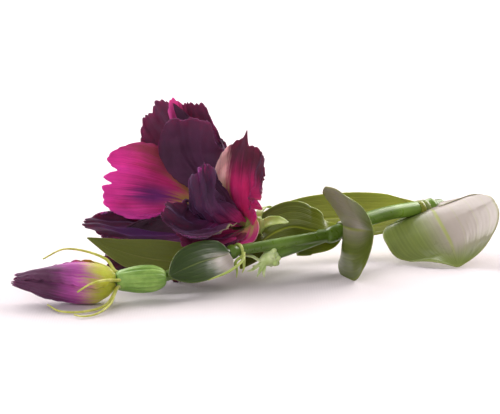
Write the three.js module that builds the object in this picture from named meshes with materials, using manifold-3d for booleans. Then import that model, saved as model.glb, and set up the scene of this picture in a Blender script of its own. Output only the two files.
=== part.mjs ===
// An artificial lisianthus lying on a table: one open ruffled bloom, one twisted bud and one tiny side bud
// on a forked moulded stem, with broad clasping leaves. Millimetres, +Z up, the table at Z = 0, the stem's
// cut end towards +X and the bud towards -X.
import * as THREE from "three";
import { mergeVertices } from "three/addons/utils/BufferGeometryUtils.js";
import Module from "manifold-3d";

const wasm = await Module();
wasm.setup();

// ---- Driving dimensions -----------------------------------------------------------------------------
const MIDDLE = { x: 4.9, y: 5.7 }; // the middle of the whole spray in the layout below
const GAP = 0.42; // clearance between two pieces that touch
const PETAL_THICK = 0.65;
const LEAF_THICK = 0.8;
const STRAP_THICK = 0.8; // sepals and bracts
const STEM_RADIUS = 2.8; // main stem, up to the fork
const BRANCH_RADIUS = 2.0; // the branches past the fork
const PEDICEL_RADIUS = 1.6; // the stalk that carries the bloom
const WIRE_RADIUS = 0.8; // steel wire inside the main stem
const THREAD_RADIUS = 0.45; // the thread-like sepals of the bud
const CORE_RADIUS = 3.4; // the middle that holds the bloom's petals
const BUD_RADIUS = 7;
const BUD_CALYX_RADIUS = 4.6;

// ---- Small helpers ----------------------------------------------------------------------------------
const V = (x, y, z) => new THREE.Vector3(x, y, z);
const rad = THREE.MathUtils.degToRad;
const lerp = THREE.MathUtils.lerp;
const smooth = THREE.MathUtils.smoothstep;
const curve = (points) => new THREE.CatmullRomCurve3(points, false, "centripetal");

// A closed three.js geometry as a solid for joining and cutting.
function solid(geometry) {
  const bare = geometry.clone();
  bare.deleteAttribute("normal");
  bare.deleteAttribute("uv");
  const merged = mergeVertices(bare, 1e-4);
  return new wasm.Manifold(
    new wasm.Mesh({
      numProp: 3,
      vertProperties: merged.attributes.position.array,
      triVerts: new Uint32Array(merged.index.array),
    }),
  );
}

// A solid back as a three.js geometry.
function geometryOf(body) {
  const mesh = body.getMesh();
  const geometry = new THREE.BufferGeometry();
  geometry.setAttribute("position", new THREE.BufferAttribute(mesh.vertProperties, 3));
  geometry.setIndex(new THREE.BufferAttribute(mesh.triVerts, 1));
  return geometry;
}

const fuse = (bodies) => bodies.reduce((whole, body) => whole.add(body));

// A line of points drawn out by a little at both ends.
function drawnOut(points, by) {
  const longer = points.map((point) => point.clone());
  const last = points.length - 1;
  longer[0].addScaledVector(points[0].clone().sub(points[1]).normalize(), by);
  longer[last].addScaledVector(points[last].clone().sub(points[last - 1]).normalize(), by);
  return longer;
}

// A round bar of one radius along a smooth curve through the given points.
function bar(points, { radius, sides = 8, stepLength = 6, grow = 0 }) {
  const path = curve(drawnOut(points, grow));
  radius += grow;
  const circle = new THREE.Shape();
  for (let i = 0; i < sides; i++) {
    const angle = (2 * Math.PI * i) / sides;
    circle[i ? "lineTo" : "moveTo"](radius * Math.cos(angle), radius * Math.sin(angle));
  }
  circle.closePath();
  const steps = Math.max(3, Math.round(path.getLength() / stepLength));
  return solid(new THREE.ExtrudeGeometry(circle, { extrudePath: path, steps, bevelEnabled: false }));
}

// A turned form: profile is [radius, distance along the axis] pairs, stood at a point along a direction.
function turned(profile, at, direction, sides = 14) {
  const geometry = new THREE.LatheGeometry(
    profile.map(([r, y]) => new THREE.Vector2(r, y)),
    sides,
  );
  const turn = new THREE.Quaternion().setFromUnitVectors(V(0, 1, 0), direction.clone().normalize());
  geometry.applyQuaternion(turn);
  geometry.translate(at.x, at.y, at.z);
  return solid(geometry);
}

// ---- Blades: petals, sepals and leaves ----------------------------------------------------------------
// A blade is a thin sheet about a middle line from its root to its tip:
//   line     points the middle line passes through
//   face     the way the sheet looks at its root and at its tip; rootFace sets it close to the root
//   cup      degrees by which the cross-section closes towards the face, at the root and at the tip
//   fold     slope in degrees of the left and the right half up from the middle, which fades at the tip
//   roll     extra curl in degrees of the left and the right margin towards the face
//   ruffle   waves of the margin, lower where the blade is narrow: { height, waves, phase }
//   outline  (u, v) gives { along, across }: shares of the length and of the half width
const SECTION_STEPS = 10;

function bladeSheet(blade, grow = 0) {
  const { line, face, halfWidth, cup = [0, 0], fold = [0, 0], roll = [0, 0] } = blade;
  const { ruffle = { height: 0, waves: 1, phase: 0 }, outline, rootFace } = blade;
  const path = curve(line);
  const length = path.getLength();
  return (u, v) => {
    const { along: reach, across } = outline(u, v);
    const along = reach * (1 + grow / length);
    const share = THREE.MathUtils.clamp(along, 0, 1);
    const forward = path.getTangentAt(share);
    const at = path.getPointAt(share).addScaledVector(forward, (along - share) * length);
    const looks = face[0].clone().lerp(face[1], share);
    if (rootFace) looks.lerp(rootFace, 1 - smooth(share, 0, 0.3));
    const sideways = new THREE.Vector3().crossVectors(looks, forward).normalize();
    const out = new THREE.Vector3().crossVectors(forward, sideways).normalize();
    const side = v < 0 ? 0 : 1;
    const closing = lerp(cup[0], cup[1], share);
    const curl = roll[side] * smooth(share, 0.2, 0.8);
    const tilt = fold[side] * (1 - smooth(share, 0.75, 1));
    let [over, up] = [0, 0];
    for (let i = 0; i < SECTION_STEPS; i++) {
      const w = ((i + 0.5) / SECTION_STEPS) * Math.abs(v);
      const slope = rad(tilt + closing * w + curl * w ** 4);
      over += (Math.cos(slope) * v) / SECTION_STEPS;
      up += (Math.sin(slope) * Math.abs(v)) / SECTION_STEPS;
    }
    const half = halfWidth * across + grow;
    const swing = Math.sin(Math.PI * ruffle.waves * v + ruffle.phase);
    const height = ruffle.height * Math.min(1, 2 * across);
    const wave = height * (0.25 + 0.75 * Math.abs(v)) * share ** 2 * swing;
    return at.addScaledVector(sideways, over * half).addScaledVector(out, up * half + wave);
  };
}

// The closed solid of a sheet: two faces split into triangles alike, and a rim.
function bladeSolid(sheet, rows, columns, thickness, spacing = (t) => t) {
  const positions = [];
  const index = [];
  const step = 1e-3;
  const clamp = THREE.MathUtils.clamp;
  for (const sign of [1, -1])
    for (let i = 0; i <= rows; i++)
      for (let j = 0; j <= columns; j++) {
        const [u, v] = [spacing(i / rows), (2 * j) / columns - 1];
        const du = sheet(clamp(u + step, 0, 1), v).sub(sheet(clamp(u - step, 0, 1), v));
        const dv = sheet(u, clamp(v + step, -1, 1)).sub(sheet(u, clamp(v - step, -1, 1)));
        const normal = du.cross(dv).normalize();
        positions.push(...sheet(u, v).addScaledVector(normal, (sign * thickness) / 2).toArray());
      }
  const across = columns + 1;
  const under = (rows + 1) * across;
  const quad = (a, b, c, d) => index.push(a, b, c, a, c, d);
  for (let i = 0; i < rows; i++)
    for (let j = 0; j < columns; j++) {
      const [a, b] = [i * across + j, (i + 1) * across + j];
      quad(a, b, b + 1, a + 1);
      index.push(under + a, under + b + 1, under + b, under + a, under + a + 1, under + b + 1);
    }
  for (let j = 0; j < columns; j++) {
    const last = rows * across + j;
    quad(j, j + 1, under + j + 1, under + j);
    quad(last + 1, last, under + last, under + last + 1);
  }
  for (let i = 0; i < rows; i++) {
    const [a, b] = [i * across, (i + 1) * across];
    quad(b, a, under + a, under + b);
    quad(a + columns, b + columns, under + b + columns, under + a + columns);
  }
  const geometry = new THREE.BufferGeometry();
  geometry.setAttribute("position", new THREE.Float32BufferAttribute(positions, 3));
  geometry.setIndex(index);
  const body = solid(geometry);
  if (body.volume() > 0) return body;
  for (let i = 0; i < index.length; i += 3) [index[i + 1], index[i + 2]] = [index[i + 2], index[i + 1]];
  geometry.setIndex(index);
  return solid(geometry);
}

// A petal: a narrow claw that widens to a broad fan. The end is rounded and scalloped, and may be torn:
// each tear is [where across, how deep, how wide].
function petalOutline({ rounding = 0.3, scallops = 7, depth = 0.03, tears = [], claw = 0.16, widest = 0.8 }) {
  return (u, v) => {
    const torn = tears.reduce((cut, [where, deep, wide]) => {
      return cut + deep * Math.max(0, 1 - Math.abs(v - where) / wide);
    }, 0);
    const lobe = Math.abs(Math.sin((Math.PI * scallops * (v + 1)) / 2)) - 0.6;
    const reach = 1 - rounding * Math.abs(v) ** 2.4 + (depth * lobe - torn) * smooth(u, 0.6, 1);
    const spread = Math.sin((Math.PI / 2) * Math.min(1, u / widest));
    return { along: u * reach, across: claw + (1 - claw) * spread };
  };
}

// A broad leaf: round lobes at the base, widest early, drawn out to a small pointed tip.
function leafOutline({ widest = 0.36, lobes = 0.12, blunt = 1.5, tail = 0.03 }) {
  return (u, v) => {
    const rise = 0.14 + 0.86 * Math.sin((Math.PI / 2) * Math.min(1, u / widest) ** 0.6);
    const fall = Math.cos((Math.PI / 2) * Math.max(0, (u - widest) / (1 - widest)) ** blunt);
    const across = rise * fall * (1 - tail) + tail;
    // the base lobes reach back past the stem
    const back = lobes * v ** 2 * (1 - u) ** 2 * Math.min(1, u / 0.16);
    return { along: u - back, across };
  };
}

// ---- Layout of the stems ------------------------------------------------------------------------------
const CUT_END = V(74.5, 57, 16.4);
const NODE_LOW = V(69.7, 53, 16.5); // the joint at the stem's lower end
const NODE_FORK = V(30.7, 20, 13.5); // where the stem forks into three
const NODE_BUD = V(-6.4, -2, 12); // the joint on the branch that carries the bud
const BLOOM_AT = V(0, 18, 17); // the middle of the bloom's base
const BLOOM_AXIS = V(-0.72, -0.48, 0.5).normalize();
const BUD_AT = V(-31, -22.6, 7.6); // the branch's end, inside the bud's calyx
const BUD_AXIS = V(-0.97, -0.24, 0).normalize();
const SIDE_BUD_AT = V(8, 6, 8.4);
const SIDE_BUD_AXIS = V(-0.8, -0.5, -0.33).normalize();

const STEM_PATH = [CUT_END, NODE_LOW, V(61, 46, 17.2), V(51, 37.5, 17.3), V(40, 28, 15.8), NODE_FORK];
const BUD_BRANCH = [NODE_FORK, V(18.2, 11, 13.4), V(4.3, 4, 12.6), NODE_BUD, V(-18, -12, 9.9), BUD_AT];
const SIDE_BRANCH = [NODE_FORK, V(18.3, 12.4, 10.6), SIDE_BUD_AT];
const PEDICEL_END = BLOOM_AT.clone().addScaledVector(BLOOM_AXIS, -4.5);
const PEDICEL = [NODE_FORK, V(22, 25.5, 12.4), V(11, 26.5, 11), PEDICEL_END];

// ---- Stem ---------------------------------------------------------------------------------------------
function knuckle(at, direction, radius, length) {
  const profile = [
    [0, -length / 2],
    [radius * 0.8, -length / 2],
    [radius, -length / 4],
    [radius, length / 4],
    [radius * 0.8, length / 2],
    [0, length / 2],
  ];
  return turned(profile, at, direction, 12);
}

// The whole moulded stem, or with `grow` the room it needs.
function stem(grow = 0) {
  const path = curve(STEM_PATH);
  return fuse([
    bar(STEM_PATH, { radius: STEM_RADIUS, sides: 10, grow }),
    bar(BUD_BRANCH, { radius: BRANCH_RADIUS, grow }),
    bar(SIDE_BRANCH, { radius: BRANCH_RADIUS * 0.92, grow }),
    bar(PEDICEL, { radius: PEDICEL_RADIUS, grow }),
    knuckle(NODE_LOW, path.getTangent(0.15), STEM_RADIUS + 0.9 + grow, 4 + 2 * grow),
    knuckle(NODE_FORK, path.getTangent(1), STEM_RADIUS + 0.9 + grow, 7 + 2 * grow),
    knuckle(NODE_BUD, V(-0.8, -0.5, -0.1), BRANCH_RADIUS + 0.7 + grow, 3.6 + 2 * grow),
  ]);
}

// The wire runs inside the main stem from just past the cut end to near the fork.
function wire(grow = 0) {
  const path = curve(STEM_PATH);
  const points = path.getSpacedPoints(12).slice(0, 11);
  points[0].addScaledVector(path.getTangent(0), -0.8 - grow * 2);
  return bar(points, { radius: WIRE_RADIUS, sides: 8, stepLength: 4, grow });
}

// ---- Leaves -------------------------------------------------------------------------------------------
// Each leaf clasps the stem with a short ring at its root.
const COLLAR_LENGTH = 2.2;
const COLLAR_WALL = 1.0;
const MAIN_WAY = V(0.76, 0.65, -0.02); // the way of the main stem near its lower joint
const FORK_WAY = V(0.76, 0.62, 0.17);
const BUD_WAY = V(-0.78, -0.6, -0.15);
const nextTo = (at, way, distance) => at.clone().addScaledVector(way.clone().normalize(), distance);

const LEAVES = {
  leaf_low_front: {
    collar: { at: nextTo(NODE_LOW, MAIN_WAY, -3.6), way: MAIN_WAY, radius: STEM_RADIUS },
    line: [V(67.5, 46, 17.5), V(71.5, 38, 14), V(75.5, 29, 7.6), V(77.4, 22, 0.5)],
    face: [V(0.1, 0.2, 0.97), V(0, -0.5, 0.86)],
    halfWidth: 23,
    cup: [10, 26],
    fold: [-36, 28],
    ruffle: { height: 1.2, waves: 1.2, phase: 0.6 },
    shape: { widest: 0.34, lobes: 0.2, blunt: 1.7 },
  },
  leaf_low_back: {
    collar: { at: nextTo(NODE_LOW, MAIN_WAY, -6.2), way: MAIN_WAY, radius: STEM_RADIUS },
    line: [V(57, 50, 15), V(40, 46, 14.4), V(20, 40, 14.6), V(1, 33, 16.4)],
    face: [V(0.1, -0.6, 0.8), V(0.1, -0.7, 0.7)],
    halfWidth: 11,
    cup: [16, 16],
    ruffle: { height: 0.9, waves: 1.2, phase: 0.8 },
    shape: { widest: 0.42, lobes: 0.05, blunt: 1.4 },
  },
  leaf_fork_front: {
    collar: { at: nextTo(NODE_FORK, FORK_WAY, 5), way: FORK_WAY, radius: STEM_RADIUS },
    line: [V(34.5, 19, 17), V(37.5, 10, 17.6), V(44.2, -2, 19.8)],
    face: [V(-0.87, -0.42, -0.1), V(-0.87, -0.42, -0.1)],
    halfWidth: 19,
    cup: [10, 10],
    fold: [10, 20],
    ruffle: { height: 0.8, waves: 1.3, phase: 0.2 },
    shape: { widest: 0.36, lobes: 0.16, blunt: 1.7 },
  },
  leaf_fork_back: {
    collar: { at: nextTo(NODE_FORK, FORK_WAY, 7.6), way: FORK_WAY, radius: STEM_RADIUS },
    line: [V(29, 24.5, 13), V(23, 22.5, 14.5), V(14.8, 19, 16.4), V(5.5, 12.6, 13.2), V(-3.6, 7.5, 3.4)],
    face: [V(0.1, -0.95, 0.3), V(-0.3, -0.9, 0.3)],
    halfWidth: 12,
    fold: [-48, 4],
    cup: [10, 10],
    ruffle: { height: 0.6, waves: 1.1, phase: 0.5 },
    shape: { widest: 0.45, lobes: 0.1, blunt: 1.5 },
  },
  leaf_bud_long: {
    collar: { at: nextTo(NODE_BUD, BUD_WAY, 5.9), way: BUD_WAY, radius: BRANCH_RADIUS },
    line: [V(-14, -5.5, 11), V(-27, -8, 11), V(-42.5, -9, 13), V(-57.5, -10, 19)],
    face: [V(0.05, -0.8, 0.6), V(0.05, -0.8, 0.6)],
    halfWidth: 8.4,
    cup: [20, 16],
    ruffle: { height: 0.5, waves: 1.2, phase: 0.2 },
    shape: { widest: 0.6, lobes: 0, blunt: 1.2 },
  },
  leaf_bud_front: {
    collar: { at: nextTo(NODE_BUD, BUD_WAY, 3.3), way: BUD_WAY, radius: BRANCH_RADIUS },
    line: [V(-9.4, -8, 12), V(-17.6, -16, 11.5), V(-28.2, -24.8, 8.8)],
    face: [V(0.3, -0.7, 0.6), V(0.3, -0.75, 0.6)],
    halfWidth: 7.4,
    cup: [20, 10],
    ruffle: { height: 0.7, waves: 1.3, phase: 1.0 },
    shape: { widest: 0.45, lobes: 0.1, blunt: 1.6 },
  },
};

// A short ring that clasps the stem.
function clasp({ at, way, radius }, grow = 0) {
  const [inner, outer, half] = [radius, radius + GAP + COLLAR_WALL + grow, COLLAR_LENGTH / 2 + grow];
  const profile = [
    [inner, -half],
    [outer, -half],
    [outer, half],
    [inner, half],
    [inner, -half],
  ];
  return turned(profile, at, way, 10);
}

// The point in a clasp's wall from which a blade that sets out towards `first` grows.
function rootIn({ at, way, radius }, first) {
  const along = way.clone().normalize();
  const away = first.clone().sub(at);
  away.addScaledVector(along, -away.dot(along)).normalize();
  return at.clone().addScaledVector(away, radius + GAP + COLLAR_WALL / 2);
}

function leaf({ collar, shape, ...blade }, grow = 0) {
  const line = [rootIn(collar, blade.line[0]), ...blade.line];
  const sheet = bladeSheet({ ...blade, line, outline: leafOutline(shape) }, grow);
  const closerAtEnds = (t) => (1 - Math.cos(Math.PI * t)) / 2;
  return bladeSolid(sheet, 9, 6, LEAF_THICK + 2 * grow, closerAtEnds).add(clasp(collar, grow));
}

// Narrow blades such as sepals and bracts.
function strap(points, halfWidth, face, grow = 0) {
  const outline = (u) => ({ along: u, across: Math.cos((Math.PI / 2) * u ** 2) * 0.9 + 0.1 });
  const sheet = bladeSheet({ line: points, face: [face, face], halfWidth, cup: [20, 20], outline }, grow);
  return bladeSolid(sheet, 4, 2, STRAP_THICK + 2 * grow);
}

// Three narrow bracts at the joint of the bud's branch.
const BRACTS = [
  [V(-2.6, -8, 10.4), V(-7, -15.4, 8.4), V(-14.5, -22.5, 6.8)],
  [V(-5.2, -6, 9), V(-4.6, -8, 6.6), V(-4.8, -8.4, 4)],
  [V(-2.2, -4.5, 9.5), V(-2.2, -5.4, 7), V(-2.8, -5, 5)],
];

function branchBracts(grow = 0) {
  const collar = { at: nextTo(NODE_BUD, BUD_WAY, -3.1), way: BUD_WAY, radius: BRANCH_RADIUS };
  const blades = BRACTS.map((line) => strap([rootIn(collar, line[0]), ...line], 0.9, V(0, -0.6, 0.8), grow));
  return fuse([clasp(collar, grow), ...blades]);
}

// ---- Bloom --------------------------------------------------------------------------------------------
const BLOOM_UP = V(0, 0, 1).addScaledVector(BLOOM_AXIS, -BLOOM_AXIS.z).normalize();
const BLOOM_AWAY = new THREE.Vector3().crossVectors(BLOOM_AXIS, BLOOM_UP).normalize();

// The petals' middle lines, from the bloom's base to the tip, each with its own torn and ruffled end.
const AT = BLOOM_AT;
const PETALS = [
  // the great petal on the left, seen from inside
  {
    line: [V(-14, 20, 23), V(-31, 19.5, 29), V(-53, 14.5, 33)],
    face: [V(0.5, -0.5, 0.7), V(0.25, -0.92, 0.3)],
    halfWidth: 18,
    cup: [60, 14],
    roll: [0, -40],
    ruffle: { height: 1.2, waves: 2.2, phase: 0.8 },
    edge: { rounding: 0.16, tears: [[-0.1, 0.1, 0.09], [0.35, 0.1, 0.08]], widest: 0.85 },
  },
  // low left, nearly level
  {
    line: [V(-16, 11, 17), V(-36, 8, 17), V(-59, 3, 21)],
    face: [V(0.1, -0.35, 0.9), V(0.1, -0.27, 0.96)],
    halfWidth: 13,
    cup: [40, 12],
    ruffle: { height: 1.5, waves: 2.4, phase: 0.3 },
    edge: { rounding: 0.3, widest: 0.6 },
  },
  // upper back, left
  {
    line: [V(-13, 25, 31), V(-26, 29, 46), V(-35, 27, 60.5)],
    face: [V(-0.5, -0.5, 0.3), V(-0.3, -0.85, 0.1)],
    halfWidth: 15,
    cup: [50, 24],
    ruffle: { height: 1.2, waves: 2, phase: 1.6 },
    edge: { rounding: 0.24 },
  },
  // upper back, right
  {
    line: [V(-14, 25.5, 31), V(-23.5, 29, 46), V(-31, 28, 62)],
    face: [V(-0.6, -0.6, 0.2), V(-0.2, -0.95, 0.1)],
    halfWidth: 13.5,
    cup: [60, 30],
    ruffle: { height: 1.2, waves: 2.3, phase: 0.2 },
    edge: { rounding: 0.3, scallops: 9 },
  },
  // upper front
  {
    line: [V(-13, 18.5, 31), V(-22.5, 19, 44), V(-28, 14.5, 56.5)],
    face: [V(-0.5, -0.7, 0.2), V(-0.2, -0.95, 0.25)],
    halfWidth: 11,
    cup: [40, 16],
    ruffle: { height: 0.5, waves: 1.2, phase: 0.2 },
    edge: { rounding: 0.3, depth: 0.006, widest: 0.7 },
  },
  // right, upright, its left margin rolled in
  {
    line: [V(-3.2, 14.5, 27), V(-3.4, 12.5, 39), V(-2, 12, 49.5)],
    face: [V(-0.6, -0.8, 0.1), V(-0.5, -0.85, 0.1)],
    halfWidth: 11,
    cup: [30, 30],
    roll: [0, 150],
    ruffle: { height: 1.2, waves: 2.4, phase: 1.2 },
    edge: { rounding: 0.42, tears: [[-0.7, 0.1, 0.1], [-0.05, -0.14, 0.12]], claw: 0.4, widest: 0.6 },
  },
  // near, upright, folded inwards
  {
    line: [V(-6, 6, 22), V(-11.5, -4, 28), V(-13.5, -7, 42)],
    face: [V(-0.3, 0.5, 0.8), V(-0.5, 0.85, 0.1)],
    halfWidth: 10,
    cup: [60, 90],
    ruffle: { height: 1.5, waves: 2.2, phase: 0.5 },
    edge: { rounding: 0.25 },
  },
  // near, left, curled up
  {
    line: [V(-12, 6, 21), V(-22.5, -5, 23), V(-30, -9, 29)],
    face: [V(-0.3, 0.3, 0.8), V(0.3, 0.7, 0.8)],
    halfWidth: 10,
    cup: [60, 60],
    ruffle: { height: 1.6, waves: 2.6, phase: 1.5 },
    edge: { rounding: 0.25 },
  },
  // near, low, its outer side showing
  {
    line: [V(-7, 7.5, 16.5), V(-16, 0, 16.4), V(-26, -3.6, 19)],
    face: [V(-0.1, 0.3, 0.95), V(0.2, 0.6, 0.8)],
    halfWidth: 11,
    cup: [20, 40],
    ruffle: { height: 1.3, waves: 2.6, phase: 0.5 },
    edge: { rounding: 0.25, claw: 0.3 },
  },
  // inner, at the right
  {
    line: [V(-5, 13, 27), V(-9, 7, 36), V(-11, 5, 46)],
    face: [V(-0.8, -0.4, 0.2), V(-0.8, 0.3, 0.2)],
    halfWidth: 8,
    cup: [60, 60],
    ruffle: { height: 1.5, waves: 2.2, phase: 2.2 },
    edge: { rounding: 0.3 },
  },
  // hanging, its tip on the table
  {
    line: [V(-12, 10, 15), V(-22.5, 4.5, 8.5), V(-26.7, 0.5, -0.4)],
    face: [V(0, -0.2, 0.95), V(-0.7, -0.5, 0.5)],
    halfWidth: 11,
    cup: [10, 10],
    ruffle: { height: 1.2, waves: 2.2, phase: 0.7 },
    edge: { rounding: 0.45 },
  },
  // low, far left
  {
    line: [V(-16, 9.5, 16.5), V(-34, 3, 14), V(-50.5, -2.5, 9.5)],
    face: [V(0, -0.4, 0.9), V(0.3, -0.5, 0.8)],
    halfWidth: 12,
    cup: [20, 20],
    ruffle: { height: 1.4, waves: 2.6, phase: 1.9 },
    edge: { rounding: 0.3 },
  },
  // behind, hanging to the table
  {
    line: [V(-8, 29, 17), V(-20, 39, 10), V(-27, 44, -0.4)],
    face: [V(-0.3, -0.2, 0.95), V(-0.9, 0.1, 0.5)],
    halfWidth: 14,
    cup: [20, 10],
    ruffle: { height: 1.3, waves: 2.2, phase: 0.3 },
    edge: { rounding: 0.4 },
  },
  // behind, standing
  {
    line: [V(-9, 30, 24), V(-22, 40, 34), V(-35, 43, 46)],
    face: [V(-0.8, -0.5, 0.6), V(-0.5, -0.8, 0.4)],
    halfWidth: 18,
    cup: [50, 24],
    ruffle: { height: 1.3, waves: 2.4, phase: 2.1 },
    edge: { rounding: 0.25 },
  },
];
const PETAL_ROWS = 6;
const PETAL_COLUMNS = 10;

function core(grow = 0) {
  const r = CORE_RADIUS + grow;
  return turned(
    [
      [0, -3 - grow],
      [r * 0.8, -3 - grow],
      [r, 0],
      [r * 0.8, 3],
      [0, 4.5],
    ],
    BLOOM_AT,
    BLOOM_AXIS,
    12,
  );
}

// The petals with the core that holds them, or with `grow` the room they need.
function bloomPetals(grow = 0) {
  const blades = PETALS.map(({ line, edge, ...blade }) => {
    const towards = line[0].clone().sub(AT).normalize();
    const root = AT.clone().addScaledVector(towards, 1);
    const rootFace = BLOOM_AXIS.clone().addScaledVector(towards, -BLOOM_AXIS.dot(towards)).normalize();
    const outline = petalOutline(edge);
    const sheet = bladeSheet({ ...blade, line: [root, ...line], rootFace, outline }, grow);
    return bladeSolid(sheet, PETAL_ROWS, PETAL_COLUMNS, PETAL_THICK + 2 * grow);
  });
  return fuse([core(grow), ...blades]);
}

// The green cup under the bloom, with five short spreading sepals.
function bloomCalyx(grow = 0) {
  const profile = [
    [0, -8 - grow],
    [PEDICEL_RADIUS + 0.9 + grow, -8 - grow],
    [CORE_RADIUS + 0.6 + grow, -4.5],
    [CORE_RADIUS + 1.2 + grow, -1.8 + grow],
    [0, -1.8 + grow],
  ];
  const cup = turned(profile, BLOOM_AT, BLOOM_AXIS, 14);
  const sepals = [20, 92, 164, 236, 308].map((azimuth) => {
    const outwards = BLOOM_UP.clone()
      .multiplyScalar(Math.cos(rad(azimuth)))
      .addScaledVector(BLOOM_AWAY, Math.sin(rad(azimuth)));
    const at = (out, up) => AT.clone().addScaledVector(outwards, out).addScaledVector(BLOOM_AXIS, up);
    const line = [at(CORE_RADIUS + 0.5, -3), at(6.4, -3.4), at(8.8, -5), at(10.4, -7.6)];
    return strap(line, 1.6, BLOOM_AXIS, grow);
  });
  return fuse([cup, ...sepals]);
}

// ---- Bud ----------------------------------------------------------------------------------------------
const CALYX_LENGTH = 15.6;
const BUD_START = nextTo(BUD_AT, BUD_AXIS, CALYX_LENGTH + GAP);
const BUD_LINE = [BUD_START, V(-55, -28.8, 7.8), V(-67, -29.2, 7.8), V(-82, -27.5, 8.1)];
const BUD_SHAPE = [
  [0, 0.34],
  [0.08, 0.75],
  [0.2, 1],
  [0.35, 0.98],
  [0.55, 0.88],
  [0.7, 0.8],
  [0.85, 0.56],
  [0.95, 0.3],
  [1, 0.16],
]; // share of the length, share of the greatest radius
const budRadius = (share) => {
  const i = Math.max(1, BUD_SHAPE.findIndex(([at]) => at >= Math.min(share, 1)));
  const [[a, ra], [b, rb]] = [BUD_SHAPE[i - 1], BUD_SHAPE[i]];
  return BUD_RADIUS * lerp(ra, rb, smooth(share, a, b));
};

// Petals wrapped round the bud, each with one margin tucked under and the other lying over its neighbour.
const BUD_PETALS = [
  { start: 95, closing: 88, twist: 50, reach: 1, depth: 0.03 },
  { start: 215, closing: 88, twist: 50, reach: 0.97, depth: 0.03 },
  { start: 335, closing: 88, twist: 50, reach: 0.92, depth: 0.04 },
];

function budPetals(grow = 0) {
  const path = curve(BUD_LINE);
  const middle = BUD_AXIS.clone();
  const up = V(0, 0, 1).addScaledVector(middle, -middle.z).normalize();
  const aside = new THREE.Vector3().crossVectors(middle, up).normalize();
  const around = (angle) =>
    up.clone().multiplyScalar(Math.cos(rad(angle))).addScaledVector(aside, Math.sin(rad(angle)));
  const petals = BUD_PETALS.map(({ start, closing, twist, reach, depth }) => {
    const line = BUD_SHAPE.map(([share]) => {
      const along = share * reach;
      return path.getPointAt(along).addScaledVector(around(start + twist * along), budRadius(along));
    });
    const face = [around(start).negate(), around(start + twist).negate()];
    const outline = (u, v) => {
      const lobe = Math.abs(Math.sin(Math.PI * 3.5 * (v + 1))) - 0.6;
      const along = u * (1 - 0.22 * Math.abs(v) ** 2 + depth * lobe * smooth(u, 0.6, 1));
      return { along, across: budRadius(along * reach) / BUD_RADIUS };
    };
    const halfWidth = BUD_RADIUS * rad(closing);
    const cup = [closing, closing];
    const sheet = bladeSheet({ line, face, halfWidth, cup, fold: [-9, 9], outline }, grow);
    return bladeSolid(sheet, 7, 6, PETAL_THICK + 2 * grow);
  });
  const peg = turned(
    [
      [0, -4 - grow],
      [1.5 + grow, -4 - grow],
      [1.5 + grow, 0],
      [2.2 + grow, 0.6 - grow],
      [4, 5],
      [0, 9],
    ],
    BUD_LINE[0],
    BUD_AXIS,
    12,
  );
  return fuse([peg, ...petals]);
}

// The ribbed barrel that holds the bud, with its five long thread-like sepals.
const THREADS = [
  [V(-50, -23, 14.5), V(-64, -21, 17.6), V(-72, -21, 14)],
  [V(-49.5, -37, 10.4), V(-54, -39, 9.6), V(-58.5, -39, 6.8)],
  [V(-47.5, -38, 2.4), V(-52, -46, 0.9), V(-56, -48, 0.8), V(-59, -46, 0.8)],
  [V(-49, -37, 1.8), V(-56, -42, 0.8), V(-64, -42, 0.9), V(-69, -36, 1.6)],
  [V(-49.5, -19.5, 10.5), V(-57, -16.5, 12), V(-66, -17.5, 11)],
];

function budCalyx(grow = 0) {
  const r = BUD_CALYX_RADIUS + grow;
  const profile = [
    [0, -1.6 - grow],
    [r * 0.5, -1.6 - grow],
    [r * 0.88, 1.2],
    [r, 6],
    [r * 0.9, 11],
    [r * 0.62, CALYX_LENGTH],
    [0, CALYX_LENGTH],
  ];
  const barrel = turned(profile, BUD_AT, BUD_AXIS, 16);
  const threads = THREADS.map((line) => {
    const outwards = line[0].clone().sub(nextTo(BUD_AT, BUD_AXIS, CALYX_LENGTH));
    outwards.addScaledVector(BUD_AXIS, -outwards.dot(BUD_AXIS)).normalize();
    const root = nextTo(BUD_AT, BUD_AXIS, CALYX_LENGTH - 2).addScaledVector(outwards, r * 0.55);
    const rim = nextTo(BUD_AT, BUD_AXIS, CALYX_LENGTH).addScaledVector(outwards, r * 0.75);
    return bar([root, rim, ...line], { radius: THREAD_RADIUS, sides: 5, stepLength: 3, grow });
  });
  return fuse([barrel, ...threads]);
}

// ---- Side bud -----------------------------------------------------------------------------------------
// A little cup with a crown of round bumps, and curved sepals at its end.
const SIDE_SEPALS = [
  [V(3.4, 3.2, 7.6), V(0.6, 2, 9.4), V(-2.6, 2, 9.6)],
  [V(3, 2.6, 6), V(0.6, 0.8, 4.6), V(-1.2, 0, 4.4)],
  [V(4, 2, 5), V(3, 0.6, 3.2), V(2.4, 0.6, 2)],
  [V(5, 2.6, 4.6), V(5, 1.4, 3), V(5.2, 1.4, 1.6)],
  [V(4.2, 5, 6), V(2.4, 6, 5), V(0.8, 6.4, 4.6)],
];

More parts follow.
